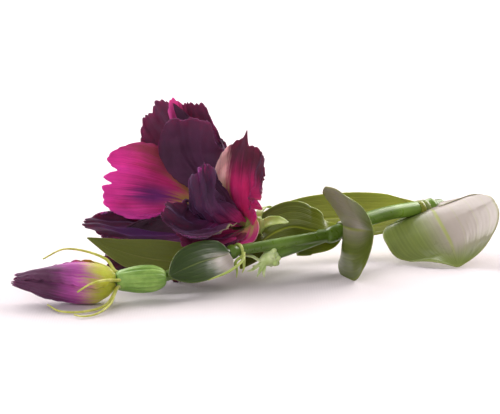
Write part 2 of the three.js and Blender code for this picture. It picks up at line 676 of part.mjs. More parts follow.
function sideBud(grow = 0) {
  const profile = [
    [0, -1.5],
    [2.7, -1.5],
    [3, 0.5],
    [2.4, 3.4],
    [1.3, 5.2],
    [0, 5.6],
  ];
  const cup = turned(profile, SIDE_BUD_AT, SIDE_BUD_AXIS, 14);
  const up = V(0, 0, 1).addScaledVector(SIDE_BUD_AXIS, -SIDE_BUD_AXIS.z).normalize();
  const aside = new THREE.Vector3().crossVectors(SIDE_BUD_AXIS, up);
  const bumps = [];
  for (let i = 0; i < 8; i++) {
    const angle = (2 * Math.PI * i) / 8;
    const bump = new THREE.IcosahedronGeometry(1, 0);
    const at = SIDE_BUD_AT.clone()
      .addScaledVector(SIDE_BUD_AXIS, -0.4 + 1.2 * (i % 2))
      .addScaledVector(up, 2.7 * Math.cos(angle))
      .addScaledVector(aside, 2.7 * Math.sin(angle));
    bump.translate(at.x, at.y, at.z);
    bumps.push(solid(bump));
  }
  const heart = nextTo(SIDE_BUD_AT, SIDE_BUD_AXIS, 3);
  const sepals = SIDE_SEPALS.map((line) => strap([heart, ...line], 0.9, V(0, -0.5, 0.85), grow));
  return fuse([cup, ...bumps, ...sepals]);
}

// ---- Assembly -----------------------------------------------------------------------------------------
const FINISH = {
  stem: { color: 0x5f9a4e, roughness: 0.4 },
  wire: { color: 0x6b5a48, roughness: 0.5, metalness: 0.8 },
  leaf: { color: 0x4f6a2c, roughness: 0.35 },
  petal: { color: 0x5a1f4a, roughness: 0.85 },
  calyx: { color: 0x86b84a, roughness: 0.45 },
};

const spray = new THREE.Group();
spray.name = "lisianthus";
const FINEST_STRIP = 0.03; // flat strips narrower than this are joined
const table = solid(new THREE.BoxGeometry(400, 400, 50).translate(0, 0, -25));
const taken = [table]; // the room of the pieces placed so far

// A piece is cut clear of the room of those before it, and only its largest part is kept.
function place(name, build, finish) {
  const rest = taken.reduce((left, room) => left.subtract(room), build(0));
  const parts = rest.simplify(FINEST_STRIP).decompose();
  const whole = parts.reduce((most, part) => (part.volume() > most.volume() ? part : most));
  taken.push(build(GAP));
  const geometry = geometryOf(whole);
  geometry.translate(-MIDDLE.x, -MIDDLE.y, 0);
  const mesh = new THREE.Mesh(geometry, new THREE.MeshStandardMaterial(FINISH[finish]));
  mesh.name = name;
  spray.add(mesh);
}

place("stem_wire", wire, "wire");
place("stem", stem, "stem");
for (const [name, spec] of Object.entries(LEAVES)) place(name, (grow) => leaf(spec, grow), "leaf");
place("branch_bracts", branchBracts, "calyx");
place("bloom_petals", bloomPetals, "petal");
place("bloom_calyx", bloomCalyx, "calyx");
place("bud_petals", budPetals, "petal");
place("bud_calyx", budCalyx, "calyx");
place("side_bud", sideBud, "calyx");

export default spray;
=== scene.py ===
import math

import bpy
import numpy as np
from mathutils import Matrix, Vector


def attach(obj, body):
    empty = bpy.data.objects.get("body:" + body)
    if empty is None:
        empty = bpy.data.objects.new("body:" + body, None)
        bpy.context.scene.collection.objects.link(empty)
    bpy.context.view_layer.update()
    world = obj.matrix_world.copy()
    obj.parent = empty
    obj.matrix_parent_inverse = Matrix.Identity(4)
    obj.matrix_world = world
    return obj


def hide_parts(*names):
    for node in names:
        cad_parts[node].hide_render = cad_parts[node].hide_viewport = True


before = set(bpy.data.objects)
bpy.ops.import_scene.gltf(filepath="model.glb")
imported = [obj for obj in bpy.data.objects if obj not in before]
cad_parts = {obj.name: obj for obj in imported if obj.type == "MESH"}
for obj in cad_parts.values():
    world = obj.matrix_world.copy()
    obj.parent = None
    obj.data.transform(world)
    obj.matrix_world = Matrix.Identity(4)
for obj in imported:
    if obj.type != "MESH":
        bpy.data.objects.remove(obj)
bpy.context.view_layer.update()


# ---- Camera -----------------------------------------------------------------------------------------------
# A long lens a little above the table, looking straight across the spray. Places are given in the layout that
# the spray was drawn in, and spot() moves them into the frame.
MM = 0.001
MIDDLE = np.array([4.9, 5.7, 0.0])  # the middle of the spray in that layout


def spot(*place):
    """A point of the layout, in millimetres, as a point of the frame."""
    return np.array(place, float) - MIDDLE


CAMERA_AIM = spot(0, 0, 28)
CAMERA_AWAY = 650
CAMERA_RISE = math.radians(12)
VIEW_WIDTH = 178.6  # how much the picture spans at the spray

camera = bpy.data.objects.new("Camera", bpy.data.cameras.new("Camera"))
bpy.context.scene.collection.objects.link(camera)
bpy.context.scene.camera = camera
towards_camera = Vector((0, -math.cos(CAMERA_RISE), math.sin(CAMERA_RISE)))
camera.location = (Vector(CAMERA_AIM) + towards_camera * CAMERA_AWAY) * MM
camera.rotation_euler = towards_camera.to_track_quat("Z", "Y").to_euler()
camera.data.lens = camera.data.sensor_width * CAMERA_AWAY / VIEW_WIDTH
camera.data.clip_start = 0.05
camera.data.clip_end = 20


# ---- Table and light --------------------------------------------------------------------------------------
# A plain white tablecloth that runs on out of sight, a pale room, wide windows behind to the right and to the
# left, and a weaker light from the front left.
def paint(code):
    """A colour written as on a paint card, #rrggbb, as linear red, green, blue and alpha."""
    parts = [int(code[i : i + 2], 16) / 255 for i in (1, 3, 5)]
    return (*[c / 12.92 if c <= 0.04045 else ((c + 0.055) / 1.055) ** 2.4 for c in parts], 1)


def add(tree, kind, inputs=None, **settings):
    """A shader node with its settings, its inputs either values or other nodes' outputs."""
    made = tree.nodes.new(kind)
    for name, value in settings.items():
        setattr(made, name, value)
    for name, value in (inputs or {}).items():
        if isinstance(value, bpy.types.NodeSocket):
            tree.links.new(value, made.inputs[name])
        else:
            made.inputs[name].default_value = value
    return made


def calc(tree, operation, *values):
    """A math node's result."""
    return add(tree, "ShaderNodeMath", dict(enumerate(values)), operation=operation).outputs[0]


def ramp(tree, value, low, high):
    """A soft step: 0 below low, 1 above high."""
    inputs = {"Value": value, "From Min": low, "From Max": high}
    return add(tree, "ShaderNodeMapRange", inputs, interpolation_type="SMOOTHSTEP").outputs[0]


MIX_SHARE, MIX_FIRST, MIX_SECOND, MIX_RESULT = 0, 6, 7, 2  # the sockets of a Mix node that mixes colours


def mixed(tree, share, first, second):
    """first where share is 0 and second where it is 1."""
    inputs = {MIX_SHARE: share, MIX_FIRST: first, MIX_SECOND: second}
    return add(tree, "ShaderNodeMix", inputs, data_type="RGBA").outputs[MIX_RESULT]


def noise(tree, place, scale, detail=3.0, roughness=0.5):
    """Soft clouds between 0 and 1."""
    inputs = {"Vector": place, "Scale": scale, "Detail": detail, "Roughness": roughness}
    return add(tree, "ShaderNodeTexNoise", inputs).outputs[0]


def object_place(tree):
    """The place of the shaded point on its object."""
    return add(tree, "ShaderNodeTexCoord").outputs["Object"]


def new_material(name, **constants):
    """A material with a Principled BSDF whose constant inputs are set."""
    material = bpy.data.materials.new(name)
    material.use_nodes = True
    shader = material.node_tree.nodes["Principled BSDF"]
    for socket, value in constants.items():
        shader.inputs[socket.replace("_", " ")].default_value = value
    return material, material.node_tree, shader


def emboss(tree, shader, height, strength, depth):
    """Relief from a height; depth is in millimetres."""
    bump = add(tree, "ShaderNodeBump", {"Height": height, "Strength": strength, "Distance": depth * MM})
    tree.links.new(bump.outputs[0], shader.inputs["Normal"])


def build_mesh(name, points, faces):
    """A smooth-shaded mesh from points in millimetres."""
    mesh = bpy.data.meshes.new(name)
    mesh.from_pydata((np.asarray(points) * MM).tolist(), [], [list(face) for face in faces])
    mesh.shade_smooth()
    return mesh


CLOTH_SPAN = 4000
WEAVE_SCALE = 330.0
cloth_points = [(x * CLOTH_SPAN, y * CLOTH_SPAN, 0) for x, y in ((-1, -1), (1, -1), (1, 1), (-1, 1))]
tablecloth = bpy.data.objects.new("tablecloth", build_mesh("tablecloth", cloth_points, [(0, 1, 2, 3)]))
bpy.context.scene.collection.objects.link(tablecloth)
cloth, tree, shader = new_material("white tablecloth", Roughness=0.9)
place = object_place(tree)
threads = {"Vector": place, "Scale": WEAVE_SCALE}
warp_threads = add(tree, "ShaderNodeTexWave", threads, bands_direction="X").outputs["Fac"]
weft_threads = add(tree, "ShaderNodeTexWave", threads, bands_direction="Y").outputs["Fac"]
emboss(tree, shader, calc(tree, "MULTIPLY", warp_threads, weft_threads), strength=0.15, depth=0.3)
tint = mixed(tree, noise(tree, place, 3.0), paint("#d8d0d4"), paint("#ddd7d8"))
tree.links.new(tint, shader.inputs["Base Color"])
tablecloth.data.materials.append(cloth)

ROOM_BRIGHTNESS = 0.34
room = bpy.data.worlds.new("bright room")
room.use_nodes = True
background = room.node_tree.nodes["Background"]
background.inputs["Color"].default_value = paint("#fffdf8")
background.inputs["Strength"].default_value = ROOM_BRIGHTNESS
bpy.context.scene.world = room
bpy.context.scene.view_settings.view_transform = "Standard"


def soft_light(name, at, size, watts, colour):
    """A rectangular light at a place in metres that shines on the spray."""
    lamp = bpy.data.lights.new(name, "AREA")
    lamp.shape = "RECTANGLE"
    lamp.size, lamp.size_y = size
    lamp.energy = watts
    lamp.color = paint(colour)[:3]
    light = bpy.data.objects.new(name, lamp)
    light.location = at
    light.rotation_euler = Vector(at).to_track_quat("Z", "Y").to_euler()
    light.visible_camera = False
    bpy.context.scene.collection.objects.link(light)


soft_light("right window", (0.95, 0.95, 0.9), (1.4, 1.0), 30, "#fffaf6")
soft_light("left window", (-0.85, 1.05, 1.2), (1.9, 1.5), 45, "#fdf9fb")
soft_light("front fill", (-0.7, -1.2, 0.9), (0.9, 0.9), 9, "#fdf6ff")


# ---- Stem -------------------------------------------------------------------------------------------------
# The stem, its three branches and the swollen joints are one moulding of green plastic over a wire. Its
# surface is smooth with a soft shine and faint darker clouds.
STEM_RADIUS = 2.8
BRANCH_RADIUS = 2.0
PEDICEL_RADIUS = 1.6
CUT_END = spot(74.5, 57, 16.4)
NODE_LOW = spot(69.7, 53, 16.5)
NODE_FORK = spot(30.7, 20, 13.5)
NODE_BUD = spot(-6.4, -2, 12)
BLOOM_AT = spot(0, 18, 17)
BUD_AT = spot(-31, -22.6, 7.6)
SIDE_BUD_AT = spot(8, 6, 8.4)


def unit(vector):
    """A vector, or each row of an array of them, at length 1."""
    vector = np.asarray(vector, float)
    return vector / np.maximum(np.linalg.norm(vector, axis=-1, keepdims=True), 1e-12)


BLOOM_AXIS = unit((-0.72, -0.48, 0.5))
BUD_AXIS = unit((-0.97, -0.24, 0))
SIDE_BUD_AXIS = unit((-0.8, -0.5, -0.33))
STEM_PATH = [CUT_END, NODE_LOW, spot(61, 46, 17.2), spot(51, 37.5, 17.3), spot(40, 28, 15.8), NODE_FORK]
BUD_BRANCH = [NODE_FORK, spot(18.2, 11, 13.4), spot(4.3, 4, 12.6), NODE_BUD, spot(-18, -12, 9.9), BUD_AT]
SIDE_BRANCH = [NODE_FORK, spot(18.3, 12.4, 10.6), SIDE_BUD_AT]
PEDICEL = [NODE_FORK, spot(22, 25.5, 12.4), spot(11, 26.5, 11), BLOOM_AT - 4.5 * BLOOM_AXIS]


def smooth_line(points, steps=48):
    """A smooth curve through the points: (place(share), way(share), length), for arrays of shares."""
    p = [np.asarray(point, float) for point in points]
    p = [2 * p[0] - p[1], *p, 2 * p[-1] - p[-2]]
    laid = []
    for a, b, c, d in zip(p, p[1:], p[2:], p[3:]):
        before, here, after = [np.linalg.norm(y - x) ** 0.5 for x, y in ((a, b), (b, c), (c, d))]
        start = ((b - a) / before - (c - a) / (before + here) + (c - b) / here) * here
        end = ((c - b) / here - (d - b) / (here + after) + (d - c) / after) * here
        t = np.linspace(0, 1, steps, endpoint=False)[:, None]
        bend = (2 * b - 2 * c + start + end) * t**3 + (3 * c - 3 * b - 2 * start - end) * t**2
        laid.append(bend + start * t + b)
    laid = np.vstack([*laid, p[-2]])
    gone = np.r_[0, np.cumsum(np.linalg.norm(np.diff(laid, axis=0), axis=1))]
    shares = gone / gone[-1]
    ways = unit(np.gradient(laid, shares, axis=0))

    def place(share):
        return np.stack([np.interp(share, shares, laid[:, k]) for k in range(3)], -1)

    def way(share):
        return unit(np.stack([np.interp(share, shares, ways[:, k]) for k in range(3)], -1))

    return place, way, gone[-1]


def grid_faces(rows, columns, closed=False):
    """Faces of a grid of points, closed round its columns if so asked."""
    faces = []
    for i in range(rows - 1):
        for j in range(columns if closed else columns - 1):
            k = (j + 1) % columns
            faces.append((i * columns + j, (i + 1) * columns + j, (i + 1) * columns + k, i * columns + k))
    return faces


def bar_faces(rings, sides):
    """Faces of a row of rings, with a flat one at each end."""
    last = (rings - 1) * sides
    ends = [tuple(range(sides)), tuple(range(last + sides - 1, last - 1, -1))]
    return grid_faces(rings, sides, closed=True) + ends


def tube(points, radius, sides=20, step=1.0):
    """A round closed bar along a smooth curve; radius is a number or a function of the share gone."""
    place, way, length = smooth_line(points)
    share = np.linspace(0, 1, max(4, int(length / step)) + 1)
    at, along = place(share), way(share)
    size = np.array([radius(s) if callable(radius) else radius for s in share])
    side = unit(np.cross(along[0], (0.3, 0.1, 1)))
    angle = np.linspace(0, 2 * math.pi, sides, endpoint=False)
    rings = []
    for i in range(len(share)):
        side = unit(side - along[i] * side.dot(along[i]))
        up = np.cross(along[i], side)
        rings.append(at[i] + size[i] * (np.outer(np.cos(angle), side) + np.outer(np.sin(angle), up)))
    return np.vstack(rings), bar_faces(len(share), sides)


def turned(profile, at, direction, sides=32, ribs=None, steps=24):
    """A turned form: its profile is (radius, distance along the axis) pairs, smoothed, and
    ribs(angle, share) scales it."""
    place, _, _ = smooth_line([(r, y, 0) for r, y in profile])
    share = np.linspace(0, 1, steps + 1)
    outline = place(share)
    axis = unit(direction)
    side = unit(np.cross(axis, (0.2, 0.1, 1)))
    up = np.cross(axis, side)
    angle = np.linspace(0, 2 * math.pi, sides, endpoint=False)
    rings = []
    for s, (r, y, _) in zip(share, outline):
        size = np.maximum(r, 0.02) * (ribs(angle, s) if ribs else np.ones(sides))
        ring = np.cos(angle)[:, None] * side + np.sin(angle)[:, None] * up
        rings.append(np.asarray(at) + axis * y + ring * size[:, None])
    return np.vstack(rings), bar_faces(len(share), sides)


def joined(parts):
    """Several (points, faces) as one."""
    points, faces, base = [], [], 0
    for some, their_faces in parts:
        points.append(some)
        faces += [tuple(base + corner for corner in face) for face in their_faces]
        base += len(some)
    return np.vstack(points), faces


def set_out(name, mesh, material, node):
    """Shows a mesh as a piece that stands for a CAD node and rides on the spray's one body."""
    piece = bpy.data.objects.new(name, mesh)
    bpy.context.scene.collection.objects.link(piece)
    mesh.materials.append(material)
    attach(piece, "root")
    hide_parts(node)
    return piece


def moulded(piece, voxel, smoothing):
    """Melts a piece's overlapping forms into one skin, as a mould does."""
    melt = piece.modifiers.new("melt", "REMESH")
    melt.mode = "VOXEL"
    melt.voxel_size = voxel * MM
    melt.use_smooth_shade = True
    ease = piece.modifiers.new("ease", "SMOOTH")
    ease.factor = 0.5
    ease.iterations = smoothing
    bpy.context.view_layer.update()
    skin = bpy.data.meshes.new_from_object(piece.evaluated_get(bpy.context.evaluated_depsgraph_get()))
    piece.modifiers.clear()
    material = piece.data.materials[0]
    piece.data = skin
    piece.data.materials.clear()
    piece.data.materials.append(material)
    piece.data.shade_smooth()


def new_group(name, colours, shares):
    """A shader node group that gives a colour, a roughness and a height: (group, its inputs, its outputs)."""
    group = bpy.data.node_groups.new(name, "ShaderNodeTree")
    for direction, sockets in (("INPUT", colours), ("OUTPUT", ["Colour"])):
        for socket in sockets:
            group.interface.new_socket(socket, in_out=direction, socket_type="NodeSocketColor")
    for direction, sockets in (("INPUT", shares), ("OUTPUT", ["Roughness", "Height"])):
        for socket in sockets:
            group.interface.new_socket(socket, in_out=direction, socket_type="NodeSocketFloat")
    return group, group.nodes.new("NodeGroupInput").outputs, group.nodes.new("NodeGroupOutput").inputs


RELIEF_DEPTH = 0.4


def dress(tree, shader, surface, strength):
    """Feeds a material from a placed group: colour, roughness and relief."""
    tree.links.new(surface.outputs["Colour"], shader.inputs["Base Color"])
    tree.links.new(surface.outputs["Roughness"], shader.inputs["Roughness"])
    emboss(tree, shader, surface.outputs["Height"], strength, RELIEF_DEPTH)


def mottle_group():
    """Faint clouds and flow marks in moulded plastic. Dullness is its mean roughness."""
    group, source, result = new_group("Moulding marks", ["Dark", "Light"], ["Scale", "Dullness"])
    place = object_place(group)
    clouds = noise(group, place, source["Scale"], 4)
    grain = noise(group, place, calc(group, "MULTIPLY", source["Scale"], 9.0), 2)
    share = ramp(group, clouds, 0.35, 0.65)
    group.links.new(mixed(group, share, source["Dark"], source["Light"]), result["Colour"])
    rough = calc(group, "MULTIPLY_ADD", grain, 0.2, calc(group, "SUBTRACT", source["Dullness"], 0.1))
    group.links.new(rough, result["Roughness"])
    group.links.new(calc(group, "ADD", clouds, calc(group, "MULTIPLY", grain, 0.2)), result["Height"])
    return group


MOTTLE = mottle_group()


def moulded_plastic(name, dark, light, dullness, scale=160.0, shine=0.5, glow=0.0):
    """Green moulded plastic. scale is how fine its clouds are, glow how much light passes through it."""
    material, tree, shader = new_material(name, Specular_IOR_Level=shine, Subsurface_Weight=glow)
    shader.inputs["Subsurface Radius"].default_value = (1.0, 1.0, 0.4)
    shader.inputs["Subsurface Scale"].default_value = 1.2 * MM
    values = {"Dark": paint(dark), "Light": paint(light), "Scale": scale, "Dullness": dullness}
    dress(tree, shader, add(tree, "ShaderNodeGroup", values, node_tree=MOTTLE), strength=0.05)
    return material


def swelling(at, direction, radius, length):
    """A round swelling at a joint of the stem."""
    half = length / 2
    shoulder = (radius * 0.75, half * 0.8)
    profile = [(0.1, -half), (shoulder[0], -shoulder[1]), (radius, 0), shoulder, (0.1, half)]
    return turned(profile, at, direction)


stem_place, stem_way, _ = smooth_line(STEM_PATH)
stem_forms = [
    tube(STEM_PATH, lambda share: STEM_RADIUS * (1 + 0.03 * math.sin(9 * share))),
    tube(BUD_BRANCH, lambda share: BRANCH_RADIUS * (1.06 - 0.12 * share)),
    tube(SIDE_BRANCH, lambda share: BRANCH_RADIUS * (0.98 - 0.12 * share)),
    tube(PEDICEL, lambda share: PEDICEL_RADIUS * (1.1 - 0.15 * share)),
    swelling(NODE_LOW, stem_way(0.15), STEM_RADIUS + 0.9, length=5),
    swelling(NODE_FORK, stem_way(1.0), STEM_RADIUS + 0.3, length=8.5),
    swelling(NODE_BUD, (-0.8, -0.5, -0.1), BRANCH_RADIUS + 0.7, length=4.6),
]
stem_plastic = moulded_plastic("stem plastic", "#4e6a18", "#749634", 0.3, scale=60.0, shine=0.55, glow=0.15)
stem = set_out("stem", build_mesh("stem", *joined(stem_forms)), stem_plastic, "stem")
moulded(stem, voxel=0.3, smoothing=10)


# ---- Wire -------------------------------------------------------------------------------------------------
# A steel wire stiffens the main stem, which is moulded round it. It shows only where the stem was cut, dull
# and a little browned.
WIRE_RADIUS = 0.8
WIRE_SHOWS = 0.8  # how far it stands out of the cut
WIRE_STATIONS = (0.1, 0.3, 0.5, 0.7, 0.83)  # shares of the stem's length that it passes, up to its end
wire_points = [CUT_END - WIRE_SHOWS * stem_way(0.0), *[stem_place(share) for share in WIRE_STATIONS]]
wire_steel, tree, shader = new_material("browned wire", Metallic=0.85)
rust = noise(tree, object_place(tree), 900.0, 4)
browned = mixed(tree, ramp(tree, rust, 0.4, 0.65), paint("#6b5a48"), paint("#4a3524"))
tree.links.new(browned, shader.inputs["Base Color"])
tree.links.new(calc(tree, "MULTIPLY_ADD", rust, 0.4, 0.25), shader.inputs["Roughness"])
wire_mesh = build_mesh("stem_wire", *tube(wire_points, WIRE_RADIUS, sides=16))
set_out("stem_wire", wire_mesh, wire_steel, "stem_wire")


# ---- Leaves -----------------------------------------------------------------------------------------------
# Six broad leaves, each a thin glossy sheet pressed with a midrib and long veins, moulded with the short ring
# that clasps the stem at its root. Light shows through them as yellow-green. On three of them a pale glare is
# painted into the colour of one half, and the low front leaf has painted shade at its root beside the stem.
LEAF_THICK = 0.5
LEAF_ROWS = 84
LEAF_COLUMNS = 60
SIDE_VEINS = (0.3, 0.58, 0.82)  # how far out the long side veins run
TABLE_EASE = 0.15  # how softly a sheet flattens where it meets the table
COLLAR_WALL = 1.0
CLEARANCE = 0.42  # the play between parts that are put together
MAIN_WAY = unit((0.76, 0.65, -0.02))
FORK_WAY = unit((0.76, 0.62, 0.17))
BUD_WAY = unit((-0.78, -0.6, -0.15))


def smooth(value, low, high):
    """A soft step of an array: 0 below low, 1 above high."""
    t = np.clip((value - low) / (high - low), 0, 1)
    return t * t * (3 - 2 * t)


def blade(
    line, face, half_width, outline, cup=(0, 0), fold=(0, 0), roll=(0, 0), ruffle=(0, 1, 0), root_face=None
):
    """A thin sheet about a middle line, as a function of arrays u (root to tip) and v (side to side).

    face is the way it looks at root and tip, cup closes its section towards that way in degrees at root and
    tip, fold tilts its left and right halves, roll curls its margins, and ruffle is (height, waves, phase).
    The outline gives how far along and how far across (u, v) lies, and root_face turns the root's face.
    """
    place, way, length = smooth_line(line)
    faces = [np.asarray(looks, float) for looks in face]
    steps = 16

    def sheet(u, v):
        along, across = outline(u, v)
        share = np.clip(along, 0, 1)
        forward = way(share)
        at = place(share) + forward * ((along - share) * length)[..., None]
        looks = faces[0] + (faces[1] - faces[0]) * share[..., None]
        if root_face is not None:
            hold = (1 - smooth(share, 0, 0.3))[..., None]
            looks = looks + (root_face - looks) * hold
        sideways = unit(np.cross(looks, forward))
        out = unit(np.cross(forward, sideways))
        left = v < 0
        closing = cup[0] + (cup[1] - cup[0]) * share
        curl = np.where(left, roll[0], roll[1]) * smooth(share, 0.2, 0.8)
        tilt = np.where(left, fold[0], fold[1]) * (1 - smooth(share, 0.75, 1))
        over, up = np.zeros_like(v), np.zeros_like(v)
        for i in range(steps):
            w = (i + 0.5) / steps * np.abs(v)
            slope = np.radians(tilt * smooth(w, 0, 0.06) + closing * w + curl * w**4)
            over = over + np.cos(slope) * v / steps
            up = up + np.sin(slope) * np.abs(v) / steps
        half = half_width * across
        height = ruffle[0] * np.minimum(1, 2 * across)
        wave = height * (0.25 + 0.75 * np.abs(v)) * share**2 * np.sin(math.pi * ruffle[1] * v + ruffle[2])
        return at + sideways * (over * half)[..., None] + out * (up * half + wave)[..., None]

    return sheet


def sheet_solid(sheet, rows, columns, thickness, relief=None):
    """The closed skin of a sheet: (points, faces, marks), with reach and side marked at each point."""
    u, v = np.meshgrid(np.linspace(0, 1, rows + 1), np.linspace(-1, 1, columns + 1), indexing="ij")
    step = 2e-3
    low_u, high_u = np.clip(u - step, 0, 1), np.clip(u + step, 0, 1)
    low_v, high_v = np.clip(v - step, -1, 1), np.clip(v + step, -1, 1)
    normal = unit(np.cross(sheet(high_u, v) - sheet(low_u, v), sheet(u, high_v) - sheet(u, low_v)))
    middle = sheet(u, v)
    if relief is not None:
        middle = middle + normal * relief(u, v)[..., None]
    thick = (thickness / 2) * (1 - 0.5 * np.maximum(np.abs(v), u) ** 12)[..., None]
    front, back = middle + normal * thick, middle - normal * thick
    count = (rows + 1) * (columns + 1)
    points = np.vstack([front.reshape(-1, 3), back.reshape(-1, 3)])
    points[:, 2] = np.logaddexp(0, points[:, 2] / TABLE_EASE) * TABLE_EASE
    near = grid_faces(rows + 1, columns + 1)
    far = [tuple(count + corner for corner in reversed(face)) for face in near]
    edge = list(range(columns + 1))
    edge += [i * (columns + 1) + columns for i in range(1, rows + 1)]
    edge += [rows * (columns + 1) + j for j in range(columns - 1, -1, -1)]
    edge += [i * (columns + 1) for i in range(rows - 1, 0, -1)]
    rim = [(a, b, count + b, count + a) for a, b in zip(edge, edge[1:] + edge[:1])]
    return points, near + far + rim, {"reach": np.tile(u.ravel(), 2), "side": np.tile(v.ravel(), 2)}


RING_MARKS = {"reach": 0.45, "side": -0.45}  # a ring takes the leaf's colour at a place between its veins


def marked_mesh(name, solid, extras=()):
    """A mesh of a sheet's skin, and of plain forms moulded with it, with the sheet's marks as attributes."""
    points, faces, marks = solid
    points, faces = joined([(points, faces), *extras])
    mesh = build_mesh(name, points, faces)
    for mark, values in marks.items():
        filled = np.full(len(points), RING_MARKS[mark], np.float32)
        filled[: len(values)] = values
        mesh.attributes.new(mark, "FLOAT", "POINT").data.foreach_set("value", filled)
    return mesh


def mark(tree, name):
    """The value of a sheet's mark in a material."""
    return add(tree, "ShaderNodeAttribute", attribute_name=name).outputs["Fac"]


def leaf_outline(widest, lobes, blunt, tail=0.03, belly=0.0, shoulder=0.6):
    """Round lobes at the base, widest early, drawn out to a small pointed tip.

    belly rounds the lobes' ends, and a greater shoulder makes the base narrower.
    """

    def outline(u, v):
        rise = 0.14 + 0.86 * np.sin(math.pi / 2 * np.minimum(1, u / widest) ** shoulder)
        fall = np.cos(math.pi / 2 * np.maximum(0, (u - widest) / (1 - widest)) ** blunt)
        lobe = (1 - belly) * v**2 * np.minimum(1, u / 0.16) + belly * np.sin(math.pi * np.abs(v) ** 1.3)
        back = lobes * lobe * (1 - u) ** 2
        return u - back, rise * fall * (1 - tail) + tail

    return outline


def root_in(at, way, radius, first):
    """The point in a clasping ring's wall from which a blade that sets out towards first grows."""
    away = np.asarray(first) - at
    away = unit(away - way * away.dot(way))
    return at + away * (radius + CLEARANCE + COLLAR_WALL / 2)


def clasp(at, way, radius, length=2.4, wall=0.7):
    """A short rounded ring round the stem."""
    inner, outer, half = radius + 0.05, radius + 0.05 + wall, length / 2
    profile = [(inner, -half), (outer - wall / 2, -half), (outer, 0), (outer - wall / 2, half), (inner, half)]
    return turned(profile, at, way, sides=28, steps=16)


def pressed_veins(u, v):
    """Heights in millimetres: a deep midrib, long side veins and a slight pucker between them."""
    open_part = smooth(u, 0.05, 0.4) * (1 - smooth(u, 0.85, 1))
    midrib = -0.4 * np.exp(-((v / 0.035) ** 2)) * (1 - 0.6 * u)
    veins = sum(-0.08 * np.exp(-(((np.abs(v) - at) / 0.03) ** 2)) for at in SIDE_VEINS)
    pucker = 0.02 * np.sin(34 * u + 9 * np.abs(v)) * np.sin(math.pi * 6 * np.abs(v))
    return (midrib + veins + pucker) * open_part


def leaf_veins_group():
    """The colours and relief of a pressed leaf, from its reach and side marks.

    Its root takes a root colour out to a given reach: a real tone on most leaves, painted shade beside the
    stem on the low front leaf. Its right half is painted paler out to another reach, a painted glare.
    """
    shares = ["Reach", "Side", "Root Tone And Shade Reach", "Painted Glare", "Painted Glare Reach"]
    group, source, result = new_group("Leaf veins", ["Blade", "Root Tone And Shade", "Vein"], shares)
    reach, side = source["Reach"], source["Side"]
    place = object_place(group)
    off = calc(group, "ABSOLUTE", side)
    streaks_at = add(group, "ShaderNodeCombineXYZ", {"X": calc(group, "MULTIPLY", side, 22.0), "Y": reach})
    streaks = noise(group, streaks_at.outputs[0], 1.6, 4)
    lines_at = calc(group, "MULTIPLY", side, 88.0)
    lines = calc(group, "MULTIPLY_ADD", calc(group, "SINE", lines_at), 0.5, 0.5)
    clouds = noise(group, place, 70.0, 4)
    vein = calc(group, "SUBTRACT", 1.0, ramp(group, off, 0.012, 0.05))
    for at in SIDE_VEINS:
        apart = calc(group, "ABSOLUTE", calc(group, "SUBTRACT", off, at))
        thin = calc(group, "MULTIPLY", calc(group, "SUBTRACT", 1.0, ramp(group, apart, 0.004, 0.022)), 0.2)
        vein = calc(group, "MAXIMUM", vein, thin)
    vein = calc(group, "MULTIPLY", vein, calc(group, "SUBTRACT", 1.0, ramp(group, reach, 0.55, 0.98)))
    # The root colour: a real tone on most leaves, and painted shade beside the stem on the low front leaf.
    root_tone_and_shade = calc(group, "SUBTRACT", 1.0, ramp(group, reach, 0.0, source["Root Tone And Shade Reach"]))
    base = mixed(group, root_tone_and_shade, source["Blade"], source["Root Tone And Shade"])
    uneven = calc(group, "MULTIPLY_ADD", clouds, 0.5, calc(group, "MULTIPLY", streaks, 0.5))
    shade = calc(group, "MULTIPLY_ADD", uneven, 0.9, 0.55)
    shade = calc(group, "MULTIPLY", shade, calc(group, "MULTIPLY_ADD", lines, 0.12, 0.94))
    shaded = add(group, "ShaderNodeVectorMath", {0: base, "Scale": shade}, operation="SCALE").outputs[0]
    # Painted glare: the right half is paled towards a pale grey that stands in for the window's reflection on
    # the gloss.
    on_right = calc(group, "MULTIPLY", ramp(group, side, -0.5, 0.2), source["Painted Glare"])
    beyond = calc(group, "SUBTRACT", reach, source["Painted Glare Reach"])
    glare_share = calc(group, "MULTIPLY", on_right, ramp(group, beyond, 0.15, -0.15))
    glared = mixed(group, glare_share, shaded, paint("#b0a49c"))
    edge = calc(group, "MAXIMUM", ramp(group, off, 0.93, 0.995), ramp(group, reach, 0.95, 1.0))
    lined = calc(group, "MAXIMUM", vein, calc(group, "MULTIPLY", edge, 0.5))
    colour = mixed(group, calc(group, "MULTIPLY", lined, 0.75), glared, source["Vein"])
    group.links.new(colour, result["Colour"])
    group.links.new(calc(group, "MULTIPLY_ADD", clouds, 0.25, 0.2), result["Roughness"])
    ridges = calc(group, "MULTIPLY_ADD", lines, 0.35, calc(group, "MULTIPLY", streaks, 0.5))
    group.links.new(calc(group, "ADD", ridges, calc(group, "MULTIPLY", clouds, 0.6)), result["Height"])
    return group


LEAF_VEINS = leaf_veins_group()


